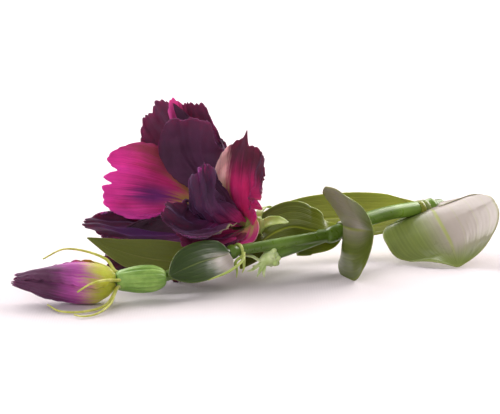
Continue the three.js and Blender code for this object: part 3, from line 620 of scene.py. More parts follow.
def leaf_film(name, colour, root_tone_and_shade, vein, root_tone_and_shade_reach=0.3, gloss=0.5, painted_glare=0.0, painted_glare_reach=0.8, glow=0.35):
    """Pressed leaf sheet. gloss is how wet it looks, and glow how much light passes through it. A pale glare
    can be painted on its right half, and its root colour can be painted shade.
    """
    material, tree, shader = new_material(name, Specular_IOR_Level=0.4, Subsurface_Weight=glow)
    shader.inputs["Coat Weight"].default_value = gloss
    shader.inputs["Coat Roughness"].default_value = 0.2
    shader.inputs["Subsurface Radius"].default_value = (0.8, 1.0, 0.2)
    shader.inputs["Subsurface Scale"].default_value = 1.0 * MM
    values = {"Blade": paint(colour), "Root Tone And Shade": paint(root_tone_and_shade), "Vein": paint(vein)}
    values |= {"Root Tone And Shade Reach": root_tone_and_shade_reach, "Painted Glare": painted_glare, "Painted Glare Reach": painted_glare_reach}
    values |= {"Reach": mark(tree, "reach"), "Side": mark(tree, "side")}
    dress(tree, shader, add(tree, "ShaderNodeGroup", values, node_tree=LEAF_VEINS), strength=0.14)
    return material


# In these leaves frost is a painted glare: a pale patch painted into the colour where the gloss reflects the
# window.
LEAVES = {
    "leaf_low_front": dict(
        collar=(NODE_LOW - 3.6 * MAIN_WAY, MAIN_WAY, STEM_RADIUS),
        line=[spot(70, 44.5, 17), spot(72, 37.5, 14), spot(75.5, 29, 7.6), spot(77.4, 22, 0.5)],
        face=[(0.1, 0.2, 0.97), (0, -0.5, 0.86)],
        half_width=22.5, cup=(10, 26), fold=(-30, 22), ruffle=(1.0, 1.2, 0.6),
        shape=dict(widest=0.34, lobes=0.22, blunt=1.7, belly=0.95),
        # The dark colour at this leaf's root is painted shade beside the stem, and its pale half is a painted
        # glare.
        film=dict(colour="#7c8a44", root_tone_and_shade="#34501c", vein="#a0aa54", gloss=0.05, painted_glare=0.95, glow=0.03),
    ),
    "leaf_low_back": dict(
        collar=(NODE_LOW - 6.2 * MAIN_WAY, MAIN_WAY, STEM_RADIUS),
        line=[spot(57, 50, 15), spot(40, 46, 14.4), spot(20, 40, 14.6), spot(1, 33, 16.4)],
        face=[(0.1, -0.6, 0.8), (0.1, -0.7, 0.7)],
        half_width=11, cup=(16, 16), ruffle=(0.9, 1.2, 0.8),
        shape=dict(widest=0.42, lobes=0.14, blunt=1.3, belly=0.6),
        film=dict(colour="#848a28", root_tone_and_shade="#a0a638", vein="#a4a83c", root_tone_and_shade_reach=0.4, gloss=0.15),
    ),
    "leaf_fork_front": dict(
        collar=(NODE_FORK + 5 * FORK_WAY, FORK_WAY, STEM_RADIUS),
        line=[spot(34.5, 19, 17), spot(37.5, 10, 17.6), spot(44.2, -2, 19.8)],
        face=[(-0.87, -0.42, -0.1), (-0.87, -0.42, -0.1)],
        half_width=19, cup=(10, 10), fold=(10, 20), ruffle=(0.8, 1.3, 0.2),
        shape=dict(widest=0.42, lobes=0.32, blunt=1.7, belly=1),
        film=dict(colour="#525e1a", root_tone_and_shade="#566818", vein="#8c9440", gloss=0.35, painted_glare=0.6),
    ),
    "leaf_fork_back": dict(
        collar=(NODE_FORK + 7.6 * FORK_WAY, FORK_WAY, STEM_RADIUS),
        line=[
            spot(29, 24.5, 13), spot(23, 22.5, 14.5), spot(14.8, 19, 16.4), spot(5.5, 12.6, 13.2),
            spot(-3.6, 7.5, 3.4),
        ],
        face=[(0.1, -0.95, 0.3), (-0.3, -0.9, 0.3)],
        half_width=10.8, fold=(-28, 4), cup=(10, 10), ruffle=(0.5, 1.1, 0.5),
        shape=dict(widest=0.4, lobes=0, blunt=0.95, shoulder=0.95),
        film=dict(colour="#5c6618", root_tone_and_shade="#8c9820", vein="#a4ac34", root_tone_and_shade_reach=0.35, gloss=0.05),
    ),
    "leaf_bud_long": dict(
        collar=(NODE_BUD + 5.9 * BUD_WAY, BUD_WAY, BRANCH_RADIUS),
        line=[spot(-14, -5.5, 10), spot(-27, -8, 9.8), spot(-42.5, -9, 12.8), spot(-57.5, -10, 19)],
        face=[(0.05, -0.8, 0.6), (0.05, -0.8, 0.6)],
        half_width=7.6, cup=(20, 16), ruffle=(0.5, 1.2, 0.2),
        shape=dict(widest=0.42, lobes=0, blunt=0.85),
        film=dict(colour="#646a20", root_tone_and_shade="#484e18", vein="#80803c", gloss=0.2),
    ),
    "leaf_bud_front": dict(
        collar=(NODE_BUD + 3.3 * BUD_WAY, BUD_WAY, BRANCH_RADIUS),
        line=[spot(-9.4, -8, 12), spot(-17.6, -16, 11.5), spot(-28.2, -24.8, 8.8)],
        face=[(0.3, -0.7, 0.6), (0.3, -0.75, 0.6)],
        half_width=7.4, cup=(20, 10), ruffle=(0.7, 1.3, 1.0),
        shape=dict(widest=0.45, lobes=0.1, blunt=1.6),
        film=dict(
            colour="#2c4208", root_tone_and_shade="#34501c", vein="#74843c", root_tone_and_shade_reach=0.25, gloss=0.4, painted_glare=0.95,
            painted_glare_reach=0.3,
        ),
    ),
}


def make_leaf(name, collar, line, shape, film, **form):
    """A leaf on its ring, from its middle line, outline, colours, and the form of its blade."""
    sheet = blade([root_in(*collar, line[0]), *line], outline=leaf_outline(**shape), **form)
    solid = sheet_solid(sheet, LEAF_ROWS, LEAF_COLUMNS, LEAF_THICK, pressed_veins)
    skin = marked_mesh(name, solid, [clasp(*collar)])
    set_out(name, skin, leaf_film(name.replace("_", " "), **film), name)


for name, leaf in LEAVES.items():
    make_leaf(name, **leaf)


# ---- Bracts -----------------------------------------------------------------------------------------------
# Three thin bracts of soft lime-green plastic, moulded on a narrow ring that slips over the bud's branch by
# its joint.
def strap(points, half_width, face, thickness=0.6):
    """A narrow blade such as a sepal or a bract, without marks."""

    def outline(u, v):
        return u, np.cos(math.pi / 2 * u**2) * 0.9 + 0.1

    sheet = blade(line=points, face=[face, face], half_width=half_width, cup=(20, 20), outline=outline)
    points, faces, _ = sheet_solid(sheet, rows=24, columns=8, thickness=thickness)
    return points, faces


BRACTS = [
    [spot(-2.6, -8, 10.4), spot(-7, -15.4, 8.4), spot(-14.5, -22.5, 6.8)],
    [spot(-5.2, -6, 9), spot(-4.6, -8, 6.6), spot(-4.8, -8.4, 4)],
    [spot(-2.2, -4.5, 9.5), spot(-2.2, -5.4, 7), spot(-2.8, -5, 5)],
]
bract_collar = (NODE_BUD - 3.1 * BUD_WAY, BUD_WAY, BRANCH_RADIUS)
bract_forms = [clasp(*bract_collar, length=1.2, wall=0.4)]
bract_forms += [
    strap([root_in(*bract_collar, line[0]), *line], half_width=0.55, face=(0, -0.6, 0.8)) for line in BRACTS
]
bract_mesh = build_mesh("branch_bracts", *joined(bract_forms))
lime_plastic = moulded_plastic("lime plastic", "#9db24e", "#c3cf74", 0.4, scale=200.0, glow=0.3)
set_out("branch_bracts", bract_mesh, lime_plastic, "branch_bracts")


# ---- Side bud ---------------------------------------------------------------------------------------------
# A tiny unopened bud on the end of the side branch: a cup with a crown of round bumps and thin curved sepals,
# all one moulding of soft pale green plastic.
CROWN_BUMPS = 11
CROWN_RADIUS = 2.9
BUMP_RADIUS = 1.1
SIDE_SEPALS = [
    [spot(3.4, 3.2, 7.6), spot(0.6, 2, 9.4), spot(-2.6, 2, 9.6)],
    [spot(3, 2.6, 6), spot(0.6, 0.8, 4.6), spot(-1.2, 0, 4.4)],
    [spot(4, 2, 5), spot(3, 0.6, 3.2), spot(2.4, 0.6, 2)],
    [spot(5, 2.6, 4.6), spot(5, 1.4, 3), spot(5.2, 1.4, 1.6)],
    [spot(4.2, 5, 6), spot(2.4, 6, 5), spot(0.8, 6.4, 4.6)],
]


def upright(axis):
    """The way across an axis that points most nearly up."""
    return unit(np.array([0, 0, 1]) - axis * axis[2])


def ball(at, radius):
    """A small round bump."""
    angles = np.linspace(0, math.pi, 9)
    profile = [(max(radius * math.sin(a), 0.02), -radius * math.cos(a)) for a in angles]
    return turned(profile, at, (0.3, 0.2, 1), sides=14, steps=12)


cup_profile = [(0.1, -1.5), (2.4, -1.6), (2.9, 0.5), (2.3, 3.2), (1.2, 5.0), (0.1, 5.5)]
side_forms = [turned(cup_profile, SIDE_BUD_AT, SIDE_BUD_AXIS)]
side_up = upright(SIDE_BUD_AXIS)
side_away = np.cross(SIDE_BUD_AXIS, side_up)
for i in range(CROWN_BUMPS):
    angle = 2 * math.pi * i / CROWN_BUMPS
    outwards = side_up * math.cos(angle) + side_away * math.sin(angle)
    forwards = -0.6 + 1.5 * (i % 2)
    side_forms.append(ball(SIDE_BUD_AT + SIDE_BUD_AXIS * forwards + CROWN_RADIUS * outwards, BUMP_RADIUS))
side_heart = SIDE_BUD_AT + 3 * SIDE_BUD_AXIS
side_forms += [strap([side_heart, *line], half_width=0.8, face=(0, -0.5, 0.85)) for line in SIDE_SEPALS]
side_plastic = moulded_plastic("pale green plastic", "#bcd480", "#e4f0bc", 0.4, scale=260.0, glow=0.3)
side_bud = set_out("side_bud", build_mesh("side_bud", *joined(side_forms)), side_plastic, "side_bud")
moulded(side_bud, voxel=0.16, smoothing=1)


# ---- Bloom calyx ------------------------------------------------------------------------------------------
# The green plastic cup that grips the bloom's petals at their base, moulded in one with five short spreading
# sepals and pushed on the stalk.
CORE_RADIUS = 3.4
BLOOM_SEPALS = 5
SEPAL_LINE = [(CORE_RADIUS + 0.5, -3), (6.8, -3.2), (9.6, -5), (11.4, -9)]  # (out, along) of the bloom's axis
BLOOM_UP = upright(BLOOM_AXIS)
BLOOM_AWAY = unit(np.cross(BLOOM_AXIS, BLOOM_UP))
bloom_cup = [
    (0.1, -8), (PEDICEL_RADIUS + 0.9, -8), (CORE_RADIUS + 0.6, -4.5), (CORE_RADIUS + 1.2, -1.8), (0.1, -1.8),
]
calyx_forms = [turned(bloom_cup, BLOOM_AT, BLOOM_AXIS)]
for i in range(BLOOM_SEPALS):
    azimuth = math.radians(20 + 360 / BLOOM_SEPALS * i)
    outwards = BLOOM_UP * math.cos(azimuth) + BLOOM_AWAY * math.sin(azimuth)
    sepal_line = [BLOOM_AT + outwards * out + BLOOM_AXIS * along for out, along in SEPAL_LINE]
    calyx_forms.append(strap(sepal_line, half_width=2.3, face=BLOOM_AXIS))
calyx_mesh = build_mesh("bloom_calyx", *joined(calyx_forms))
calyx_plastic = moulded_plastic("calyx plastic", "#9cb854", "#d4e098", 0.35, scale=120.0, glow=0.3)
calyx = set_out("bloom_calyx", calyx_mesh, calyx_plastic, "bloom_calyx")
moulded(calyx, voxel=0.3, smoothing=3)


# ---- Bloom petals -----------------------------------------------------------------------------------------
# Fourteen cloth petals, each a narrow claw that widens to a broad scalloped fan, pressed with radial creases
# and printed from yellow-green at the root through magenta to dark plum. All are held in one small core.
PETAL_THICK = 0.36
PETAL_ROWS = 64
PETAL_COLUMNS = 110
BLOTCH_AT = (0.66, 0.12)  # reach and side of the violet blotch on the great petal
PRINT_COLOURS = ("Root", "Middle", "Tip", "Side Colour", "Rim Colour")
PRINT_SHARES = ("Middle From", "Tip From", "Left Side", "Right Side", "Rim", "Blotch", "Veins")


def petal_outline(
    seed, rounding, depth=0.018, tears=(), claw=0.16, widest=0.8, waist=1.0, notches=(), scallops=13
):
    """The end is rounded to the left and right and scalloped. Each tear in it is (where across, deep, wide).

    A notch is cut into a margin: (which side, where along, how deep, how wide).
    """

    def scallop(along, count):
        uneven = along + 0.035 * np.sin(9 * along + seed) + 0.02 * np.sin(17 * along + 2 * seed)
        return np.abs(np.sin(math.pi * count * uneven / 2)) ** 0.8 - 0.6

    def outline(u, v):
        torn = sum(deep * np.exp(-2.2 * ((v - where) / wide) ** 2) for where, deep, wide in tears)
        uneven = 0.02 * np.sin(5 * v + seed) + 0.012 * np.sin(11 * v + 3 * seed)
        end = smooth(u, 0.6, 1)
        round_corner = np.where(v < 0, *rounding) * np.abs(v) ** 2.4 + 0.1 * np.abs(v) ** 9
        reach = 1 - round_corner + (depth * scallop(v, scallops) + uneven - torn) * end
        spread = np.sin(math.pi / 2 * np.minimum(1, u / widest)) ** waist
        cut = -0.03 * scallop(2 * u, scallops) * smooth(u, 0.35, 0.7) + 0.02 * np.sin(11 * u + seed)
        for side, where, deep, wide in notches:
            opening = np.maximum(0, 1 - np.abs(u - where) / wide) ** 0.8
            cut = cut + deep * opening * (v * side > 0) * np.abs(v) ** 3
        return u * reach, (claw + (1 - claw) * spread) * (1 - cut)

    return outline


def petal_creases(seed, frill=0.22, pleats=0.06, crumple=0.22):
    """Heights in millimetres: radial pleats, soft dents, and a frilled margin."""
    random = np.random.default_rng(seed)
    waves = [(random.uniform(5, 30), random.uniform(0, 6.3), random.uniform(-2.5, 2.5)) for _ in range(9)]
    dents = [(random.uniform(2, 7), random.uniform(3, 9), random.uniform(0, 6.3)) for _ in range(4)]

    def relief(u, v):
        crumpled = sum(
            np.sin(across * 2.1 * v + along * 1.7 * u + turn) * np.sin(along * 2.3 * u - across * v)
            for across, along, turn in dents
        )
        pleated = sum(
            np.sin(across * v + turn + slant * u) * (9 / across) ** 0.5 for across, turn, slant in waves
        )
        dented = sum(np.sin(across * v + turn) * np.sin(along * u + turn) for across, along, turn in dents)
        margin = np.maximum(np.abs(v) ** 8, smooth(u, 0.75, 1) ** 2)
        frilled = np.sin(19 * v + seed) + 0.6 * np.sin(17 * u + 9 * v + seed)
        inside = (pleats * pleated + 0.2 * dented + crumple * crumpled) * smooth(u, 0.05, 0.45)
        return inside + frill * frilled * margin * u

    return relief


def petal_print_group():
    """The printed colours and the cloth relief of a petal, from its reach and side marks, with a violet patch
    that is print on the great petal and a painted highlight on the low left petal.
    """
    group, source, result = new_group("Petal print", PRINT_COLOURS, ["Reach", "Side", "Seed", *PRINT_SHARES])
    reach, side, seed = source["Reach"], source["Side"], source["Seed"]
    off = calc(group, "ABSOLUTE", side)
    place = object_place(group)

    def streaks(closeness, scale, detail):
        """Streaks from root to tip, different on each petal."""
        across = calc(group, "MULTIPLY", side, closeness)
        at = add(group, "ShaderNodeCombineXYZ", {"X": across, "Y": reach, "Z": seed})
        return noise(group, at.outputs[0], scale, detail)

    wide = streaks(5.0, 1.5, 3)
    fine = streaks(34.0, 1.4, 4)
    clouds = noise(group, place, 95.0, 3)
    grain = noise(group, place, 2200.0, 2)
    warp = calc(group, "ADD", calc(group, "MULTIPLY", wide, 0.34), calc(group, "MULTIPLY", fine, 0.3))
    where = calc(group, "ADD", reach, calc(group, "SUBTRACT", warp, 0.32))
    to_middle = calc(group, "SUBTRACT", where, source["Middle From"])
    to_tip = calc(group, "SUBTRACT", where, source["Tip From"])
    colour = mixed(group, ramp(group, to_middle, -0.14, 0.14), source["Root"], source["Middle"])
    colour = mixed(group, ramp(group, to_tip, -0.2, 0.2), colour, source["Tip"])
    leaning = calc(group, "ADD", side, calc(group, "MULTIPLY", calc(group, "SUBTRACT", wide, 0.5), 0.7))
    outer_left = calc(group, "MULTIPLY_ADD", reach, 0.9, calc(group, "SUBTRACT", leaning, 0.9))
    left = calc(group, "MULTIPLY", ramp(group, outer_left, -0.7, -1.15), source["Left Side"])
    right = calc(group, "MULTIPLY", ramp(group, leaning, 0.35, 0.85), source["Right Side"])
    sides = mixed(group, ramp(group, reach, 0.3, 0.7), source["Root"], source["Side Colour"])
    colour = mixed(group, calc(group, "MAXIMUM", left, right), colour, sides)
    # The violet patch: print on the great petal, and a painted highlight, the violet sheen of dark cloth, on
    # the low left petal.
    along_apart = calc(group, "MULTIPLY", calc(group, "SUBTRACT", where, BLOTCH_AT[0]), 1.6)
    across_apart = calc(group, "SUBTRACT", side, BLOTCH_AT[1])
    squares = [calc(group, "POWER", distance, 2.0) for distance in (along_apart, across_apart)]
    apart = calc(group, "SQRT", calc(group, "ADD", *squares))
    blotch = calc(group, "MULTIPLY", ramp(group, apart, 0.42, 0.08), source["Blotch"])
    colour = mixed(group, blotch, colour, paint("#5a2870"))
    streaked = calc(group, "MULTIPLY", calc(group, "SUBTRACT", fine, 0.5), source["Veins"])
    shade = calc(group, "MULTIPLY_ADD", clouds, 1.1, calc(group, "MULTIPLY_ADD", streaked, 1.0, 0.42))
    colour = add(group, "ShaderNodeVectorMath", {0: colour, "Scale": shade}, operation="SCALE").outputs[0]
    edge = calc(group, "MAXIMUM", ramp(group, off, 0.955, 0.995), ramp(group, reach, 0.965, 0.998))
    rim = calc(group, "MULTIPLY", source["Rim"], ramp(group, to_tip, 0.35, -0.1))
    colour = mixed(group, calc(group, "MULTIPLY", edge, rim), colour, source["Rim Colour"])
    group.links.new(colour, result["Colour"])
    group.links.new(calc(group, "MULTIPLY_ADD", fine, 0.3, 0.5), result["Roughness"])
    crumpled = noise(group, place, 260.0, 3, 0.6)
    relief = calc(group, "MULTIPLY_ADD", fine, source["Veins"], calc(group, "MULTIPLY", crumpled, 1.6))
    group.links.new(calc(group, "MULTIPLY_ADD", grain, 0.25, relief), result["Height"])
    return group


PETAL_PRINT = petal_print_group()
PLUM_PRINT = dict(
    root="#8a8448", middle="#642050", tip="#42203a", side_colour="#42203a", rim_colour="#74405c",
    middle_from=0.22, tip_from=0.5, left_side=0, right_side=0, rim=0.3, blotch=0, veins=0.5,
)


def printed_cloth(name, seed, **changes):
    """Stiffened printed cloth of a petal, plum but for the changes."""
    sheen = dict(Sheen_Weight=0.28, Sheen_Roughness=0.35)
    material, tree, shader = new_material(name, Specular_IOR_Level=0.25, Subsurface_Weight=0.3, **sheen)
    shader.inputs["Sheen Tint"].default_value = paint("#b8a0e0")
    shader.inputs["Subsurface Radius"].default_value = (1.2, 0.35, 0.7)
    shader.inputs["Subsurface Scale"].default_value = 1.0 * MM
    look = {**PLUM_PRINT, **changes}
    values = {socket: paint(look[socket.lower().replace(" ", "_")]) for socket in PRINT_COLOURS}
    values |= {socket: look[socket.lower().replace(" ", "_")] for socket in PRINT_SHARES}
    values |= {"Reach": mark(tree, "reach"), "Side": mark(tree, "side"), "Seed": float(seed)}
    dress(tree, shader, add(tree, "ShaderNodeGroup", values, node_tree=PETAL_PRINT), strength=0.5)
    return material


PETALS = {
    "great_left_petal": dict(
        line=[spot(-14, 20, 23), spot(-31, 19.5, 29), spot(-53, 14.5, 33)],
        face=[(0.5, -0.5, 0.7), (0.25, -0.92, 0.3)],
        half_width=17, cup=(60, 14), roll=(0, -40), ruffle=(1.2, 2.2, 0.8),
        edge=dict(
            rounding=(0.1, 0.2), depth=0.012, claw=0.1, widest=0.95, waist=1.5,
            tears=[(-0.6, -0.05, 0.25), (-0.36, 0.055, 0.08), (-0.07, 0.07, 0.08)],
            notches=[(1, 0.78, 0.5, 0.5)],
        ),
        look=dict(
            root="#a89a38", middle="#b82c70", tip="#dc40a4", side_colour="#7c4030", rim_colour="#7a3040",
            middle_from=0.46, tip_from=0.78, left_side=0.75, rim=0.35, blotch=0.85,
        ),
    ),
    "low_left_petal": dict(
        line=[spot(-16, 11, 17), spot(-36, 8, 17), spot(-59, 3, 21)],
        face=[(0.1, -0.35, 0.9), (0.1, -0.27, 0.96)],
        half_width=13, cup=(40, 12), ruffle=(1.5, 2.4, 0.3), crumple=0.35,
        edge=dict(rounding=(0.3, 0.3), widest=0.6),
        # The violet patch on this petal is a painted highlight, the violet sheen of the dark cloth.
        look=dict(middle="#70205c", tip="#3c1430", tip_from=0.5, blotch=0.5),
    ),
    "upper_back_left_petal": dict(
        line=[spot(-13, 25, 31), spot(-26, 29, 46), spot(-35, 27, 60.5)],
        face=[(-0.5, -0.5, 0.3), (-0.3, -0.85, 0.1)],
        half_width=14, cup=(50, 24), ruffle=(0.5, 2, 1.6),
        edge=dict(rounding=(0.26, 0.22), waist=1.3),
        look=dict(middle="#682852", tip="#54304a", rim=0.4, tip_from=0.35),
    ),
    "upper_back_right_petal": dict(
        line=[spot(-11, 24, 31), spot(-16.5, 25.5, 46), spot(-20.6, 24.5, 62.6)],
        face=[(-0.6, -0.6, 0.2), (-0.2, -0.95, 0.1)],
        half_width=10.3, cup=(50, 20), ruffle=(0.6, 2.3, 0.2),
        edge=dict(rounding=(0.55, -0.06), tears=[(-0.6, 0.06, 0.5)], claw=0.1, waist=1.4),
        look=dict(
            middle="#5c2448", tip="#4a2640", side_colour="#e0509c", right_side=2.5, rim=0.4, tip_from=0.35,
        ),
    ),
    "upper_front_petal": dict(
        line=[spot(-12, 18.5, 29.5), spot(-20.8, 19, 43), spot(-22.2, 14.5, 58.2)],
        face=[(-0.5, -0.7, 0.2), (-0.1, -0.95, 0.25)],
        half_width=12, cup=(30, 10), ruffle=(0.5, 1.2, 0.2),
        edge=dict(rounding=(0.22, 0.16), depth=0.008, claw=0.06, widest=1.0, waist=3.6),
        look=dict(middle="#5c2450", tip="#502a48", tip_from=0.4, veins=0.2),
    ),
    "right_petal": dict(
        line=[spot(-3.2, 14.5, 27), spot(-3.0, 12.5, 39), spot(-1, 12, 49.5)],
        face=[(-0.6, -0.8, 0.1), (-0.5, -0.85, 0.1)],
        half_width=12, cup=(30, 30), roll=(0, 150), ruffle=(1.2, 2.4, 1.2),
        edge=dict(
            rounding=(0.2, 0.45), tears=[(0.05, -0.13, 0.12)], claw=0.4, widest=0.6,
            notches=[(-1, 0.34, 0.7, 0.07), (-1, 0.54, 0.7, 0.07)],
        ),
        look=dict(
            root="#c8b04c", middle="#c82c74", tip="#4e2236", side_colour="#fcc4c0", rim_colour="#b08070",
            middle_from=0.02, tip_from=0.66, right_side=2.2,
        ),
    ),
    "near_folded_petal": dict(
        line=[spot(-8, 7, 21), spot(-14.5, -3, 29), spot(-16.5, -6, 44)],
        face=[(-0.3, 0.5, 0.8), (-0.5, 0.85, 0.1)],
        half_width=7.6, cup=(60, 90), ruffle=(1.8, 2.6, 0.5), crumple=0.5,
        edge=dict(rounding=(0.25, 0.25)),
        look=dict(
            root="#b82c74", middle="#682858", tip="#482848", middle_from=0.36, tip_from=0.55, veins=0.25,
        ),
    ),
    "near_curled_petal": dict(
        line=[spot(-12, 6, 21), spot(-22.5, -5, 23), spot(-30, -8, 29)],
        face=[(-0.3, -0.3, 0.8), (0.2, -0.6, 0.7)],
        half_width=10, cup=(40, 30), ruffle=(1.8, 2.6, 1.5), crumple=0.45,
        edge=dict(rounding=(0.2, 0.2), claw=0.06, waist=2.6),
        look=dict(
            root="#c03078", middle="#602454", tip="#48203e", rim_colour="#d0d090", middle_from=0.4,
            tip_from=0.6, rim=0.7, veins=0.3,
        ),
    ),
    "near_low_petal": dict(
        line=[spot(-7, 7.5, 16.5), spot(-16, 0, 16.4), spot(-26, -3.6, 19)],
        face=[(-0.1, -0.7, 0.6), (0.1, -0.6, 0.7)],
        half_width=9, cup=(20, 30), ruffle=(1.3, 2.6, 0.5),
        edge=dict(rounding=(0.25, 0.25), claw=0.5, widest=0.4),
        look=dict(
            root="#b4bc5c", middle="#cc3880", tip="#701e48", rim_colour="#ccb898", rim=0.5, middle_from=0.18,
            tip_from=0.48,
        ),
    ),
    "inner_petal": dict(
        line=[spot(-6, 12, 26), spot(-11, 6, 33), spot(-15, 4, 41)],
        face=[(-0.8, -0.4, 0.2), (-0.8, 0.3, 0.2)],
        half_width=8, cup=(60, 60), ruffle=(1.5, 2.2, 2.2), crumple=0.5,
        edge=dict(rounding=(0.3, 0.3)),
        look=dict(middle="#54203f", tip="#40203c", tip_from=0.4, veins=0.25),
    ),
    "hanging_petal": dict(
        line=[spot(-12, 10, 15), spot(-22.5, 4.5, 8.5), spot(-26.7, 0.5, -0.4)],
        face=[(0, -0.2, 0.95), (-0.7, -0.5, 0.5)],
        half_width=11, cup=(10, 10), ruffle=(1.2, 2.2, 0.7),
        edge=dict(rounding=(0.45, 0.45)),
        look=dict(middle="#7c2246", tip="#4c1c34"),
    ),
    "far_low_left_petal": dict(
        line=[spot(-16, 9.5, 16.5), spot(-34, 3, 13), spot(-52, -2.5, 7.6)],
        face=[(0, -0.4, 0.9), (0.3, -0.5, 0.8)],
        half_width=12, cup=(20, 20), ruffle=(1.4, 2.6, 1.9),
        edge=dict(rounding=(0.3, 0.3)),
        look=dict(middle="#64284c", tip="#402434", rim_colour="#a08898", rim=0.4, veins=1.0),
    ),
    "hanging_back_petal": dict(
        line=[spot(-8, 29, 17), spot(-20, 39, 10), spot(-27, 44, -0.4)],
        face=[(-0.3, -0.2, 0.95), (-0.9, 0.1, 0.5)],
        half_width=14, cup=(20, 10), ruffle=(1.3, 2.2, 0.3),
        edge=dict(rounding=(0.4, 0.4)),
        look={},
    ),
    "standing_back_petal": dict(
        line=[spot(-9, 30, 24), spot(-22, 40, 34), spot(-35, 43, 46)],
        face=[(-0.8, -0.5, 0.6), (-0.5, -0.8, 0.4)],
        half_width=18, cup=(50, 24), ruffle=(1.3, 2.4, 2.1),
        edge=dict(rounding=(0.25, 0.25)),
        look={},
    ),
}


def make_petal(name, seed, line, edge, look, crumple=0.22, **form):
    """A petal of the bloom, from its middle line, outline, colours and creases, and the form of its blade."""
    towards = unit(line[0] - BLOOM_AT)
    root_face = unit(BLOOM_AXIS - towards * BLOOM_AXIS.dot(towards))
    line = [BLOOM_AT + towards, *line]
    sheet = blade(line, outline=petal_outline(seed, **edge), root_face=root_face, **form)
    creases = petal_creases(seed, crumple=crumple)
    skin = marked_mesh(name, sheet_solid(sheet, PETAL_ROWS, PETAL_COLUMNS, PETAL_THICK, creases))
    set_out(name, skin, printed_cloth(name.replace("_", " "), seed, **look), "bloom_petals")


for seed, (name, petal) in enumerate(PETALS.items(), 1):
    make_petal(name, seed, **petal)

core_profile = [(0.1, -3), (CORE_RADIUS * 0.8, -3), (CORE_RADIUS, 0), (CORE_RADIUS * 0.8, 3), (0.1, 4.5)]
core_mesh = build_mesh("petal_core", *turned(core_profile, BLOOM_AT, BLOOM_AXIS))
core_plastic = moulded_plastic("core plastic", "#7c8a3c", "#98a04c", 0.6)
set_out("petal_core", core_mesh, core_plastic, "bloom_petals")


# ---- Bud calyx --------------------------------------------------------------------------------------------
# The ribbed green barrel round the bud's base, and five long thread-like sepals that grow from its rim. They
# are moulded of soft plastic in one with it, and paler.
THREAD_RADIUS = 0.45
BUD_CALYX_RADIUS = 4.6
CALYX_LENGTH = 15.6
THREADS = [
    [spot(-50, -23, 14.5), spot(-64, -21, 17.6), spot(-72, -21, 14)],
    [spot(-49.5, -37, 10.4), spot(-54, -39, 9.6), spot(-58.5, -39, 6.8)],
    [spot(-47.5, -38, 2.4), spot(-52, -46, 0.9), spot(-56, -48, 0.8), spot(-59, -46, 0.8)],
    [spot(-49, -37, 1.8), spot(-56, -42, 0.8), spot(-64, -42, 0.9), spot(-69, -36, 1.6)],
    [spot(-49.5, -19.5, 10.5), spot(-57, -16.5, 12), spot(-66, -17.5, 11)],
]
CALYX_RIBS = 15


def thread_radius(share):
    """A thread sepal thins towards its end."""
    return THREAD_RADIUS * (1.35 - 0.75 * share)


def barrel_ribs(angle, share):
    """How far the ribs swell the barrel."""
    return 1 + 0.12 * (np.abs(np.sin(CALYX_RIBS / 2 * angle)) - 0.5) * math.sin(math.pi * min(share * 1.2, 1))


# share of the greatest radius, distance along
BARREL_SHAPE = [(0.5, -1.6), (0.88, 1.2), (1, 6), (0.9, 11), (0.62, CALYX_LENGTH)]
barrel_profile = [(BUD_CALYX_RADIUS * share, along) for share, along in BARREL_SHAPE]
barrel_profile = [(0.1, -1.6), *barrel_profile, (0.1, CALYX_LENGTH)]
barrel = turned(barrel_profile, BUD_AT, BUD_AXIS, sides=150, ribs=barrel_ribs, steps=40)
threads = []
barrel_end = BUD_AT + CALYX_LENGTH * BUD_AXIS
for line in THREADS:
    outwards = line[0] - barrel_end
    outwards = unit(outwards - BUD_AXIS * outwards.dot(BUD_AXIS))
    root = barrel_end - 2 * BUD_AXIS + outwards * BUD_CALYX_RADIUS * 0.55
    rim = barrel_end + outwards * BUD_CALYX_RADIUS * 0.75
    threads.append(tube([root, rim, *line], thread_radius, sides=10, step=0.6))
bud_plastic = moulded_plastic("bud calyx plastic", "#70983c", "#9cc060", 0.42, scale=150.0, glow=0.25)
set_out("bud_calyx", build_mesh("bud_calyx", *barrel), bud_plastic, "bud_calyx")
thread_finish = dict(scale=300.0, shine=0.4, glow=0.4)
thread_plastic = moulded_plastic("thread plastic", "#b4b84c", "#d4d47c", 0.45, **thread_finish)
set_out("bud_threads", build_mesh("bud_threads", *joined(threads)), thread_plastic, "bud_calyx")


# ---- Bud petals -------------------------------------------------------------------------------------------
# Three cloth petals twisted into a pointed bud, each with one margin tucked under and the other lying over
# its neighbour, printed from yellow-green through violet to dark plum at the tip, on a small peg.
BUD_RADIUS = 6.7
BUD_ROWS = 84
BUD_COLUMNS = 72
BUD_TWIST = 50  # degrees that a petal turns round the bud on its way to the tip
BUD_FOLD = (-9, 14)  # one margin tucks under and the other lifts
BUD_START = BUD_AT + (CALYX_LENGTH + CLEARANCE) * BUD_AXIS
BUD_LINE = [BUD_START, spot(-55, -28.8, 7.8), spot(-67, -29.2, 7.8), spot(-82, -27.5, 8.1)]
# share of the length, share of the greatest radius
BUD_SHAPE = [
    (0, 0.34), (0.08, 0.75), (0.2, 1), (0.35, 0.97), (0.55, 0.84), (0.7, 0.7), (0.85, 0.48), (0.95, 0.32),
    (1, 0.24),
]
BUD_PETALS = {
    "bud_petal_one": dict(start=95, closing=92, reach=1.0, depth=0.035),
    "bud_petal_two": dict(start=215, closing=88, reach=0.98, depth=0.04),
    "bud_petal_three": dict(start=335, closing=88, reach=0.96, depth=0.04),
}


def bud_radius(share):
    """The bud's radius at a share of its length."""
    stations, sizes = np.array(BUD_SHAPE).T
    share = np.clip(share, 0, 1)
    i = np.clip(np.searchsorted(stations, share), 1, len(stations) - 1)
    gone = smooth(share, stations[i - 1], stations[i])
    return BUD_RADIUS * (sizes[i - 1] + (sizes[i] - sizes[i - 1]) * gone)


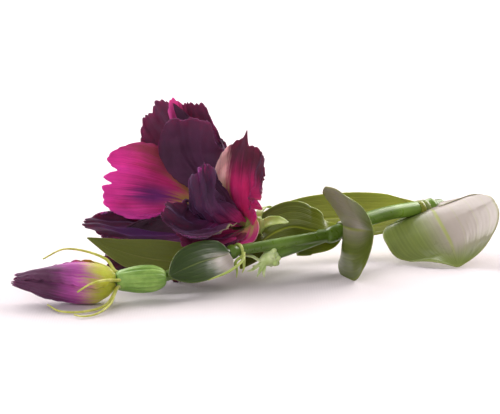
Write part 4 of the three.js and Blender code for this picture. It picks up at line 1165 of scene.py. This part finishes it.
bud_place = smooth_line(BUD_LINE)[0]
bud_up = upright(BUD_AXIS)
bud_aside = unit(np.cross(BUD_AXIS, bud_up))


def around_bud(degrees):
    """The way out from the bud's middle line."""
    angle = math.radians(degrees)
    return bud_up * math.cos(angle) + bud_aside * math.sin(angle)


def bud_outline(reach, depth):
    """A petal as wide as the bud is thick, with scalloped margins and end."""

    def outline(u, v):
        lobe = np.abs(np.sin(math.pi * 3.5 * (v + 1))) - 0.6
        along = u * (1 - 0.06 * v**2 + depth * lobe * smooth(u, 0.6, 1))
        scalloped = 1 + 0.07 * (np.abs(np.sin(math.pi * 9 * u)) - 0.6) * smooth(u, 0.2, 0.4)
        return along, bud_radius(along * reach) / BUD_RADIUS * scalloped

    return outline


def make_bud_petal(name, seed, start, closing, reach, depth):
    """A petal wrapped round the bud from start, over closing degrees to each side."""
    line = []
    for share, _ in BUD_SHAPE:
        along = share * reach
        line.append(bud_place(along) + around_bud(start + BUD_TWIST * along) * bud_radius(along))
    face = [-around_bud(start), -around_bud(start + BUD_TWIST)]
    half_width = BUD_RADIUS * math.radians(closing)
    sheet = blade(line, face, half_width, bud_outline(reach, depth), cup=(closing, closing), fold=BUD_FOLD)
    creases = petal_creases(seed, frill=0.12, pleats=0.06, crumple=0.06)
    skin = marked_mesh(name, sheet_solid(sheet, BUD_ROWS, BUD_COLUMNS, PETAL_THICK, creases))
    cloth = printed_cloth(
        name.replace("_", " "), seed, root="#ccd044", middle="#cc5cb8", tip="#58304c", rim_colour="#301828",
        middle_from=0.3, tip_from=0.5, rim=0.4,
    )
    set_out(name, skin, cloth, "bud_petals")


for seed, (name, wrap) in enumerate(BUD_PETALS.items(), 31):
    make_bud_petal(name, seed, **wrap)

peg_profile = [(0.1, -4), (1.5, -4), (1.5, 0), (2.2, 0.6), (4, 5), (0.1, 9)]
peg_mesh = build_mesh("bud_peg", *turned(peg_profile, BUD_START, BUD_AXIS))
set_out("bud_peg", peg_mesh, core_plastic, "bud_petals")
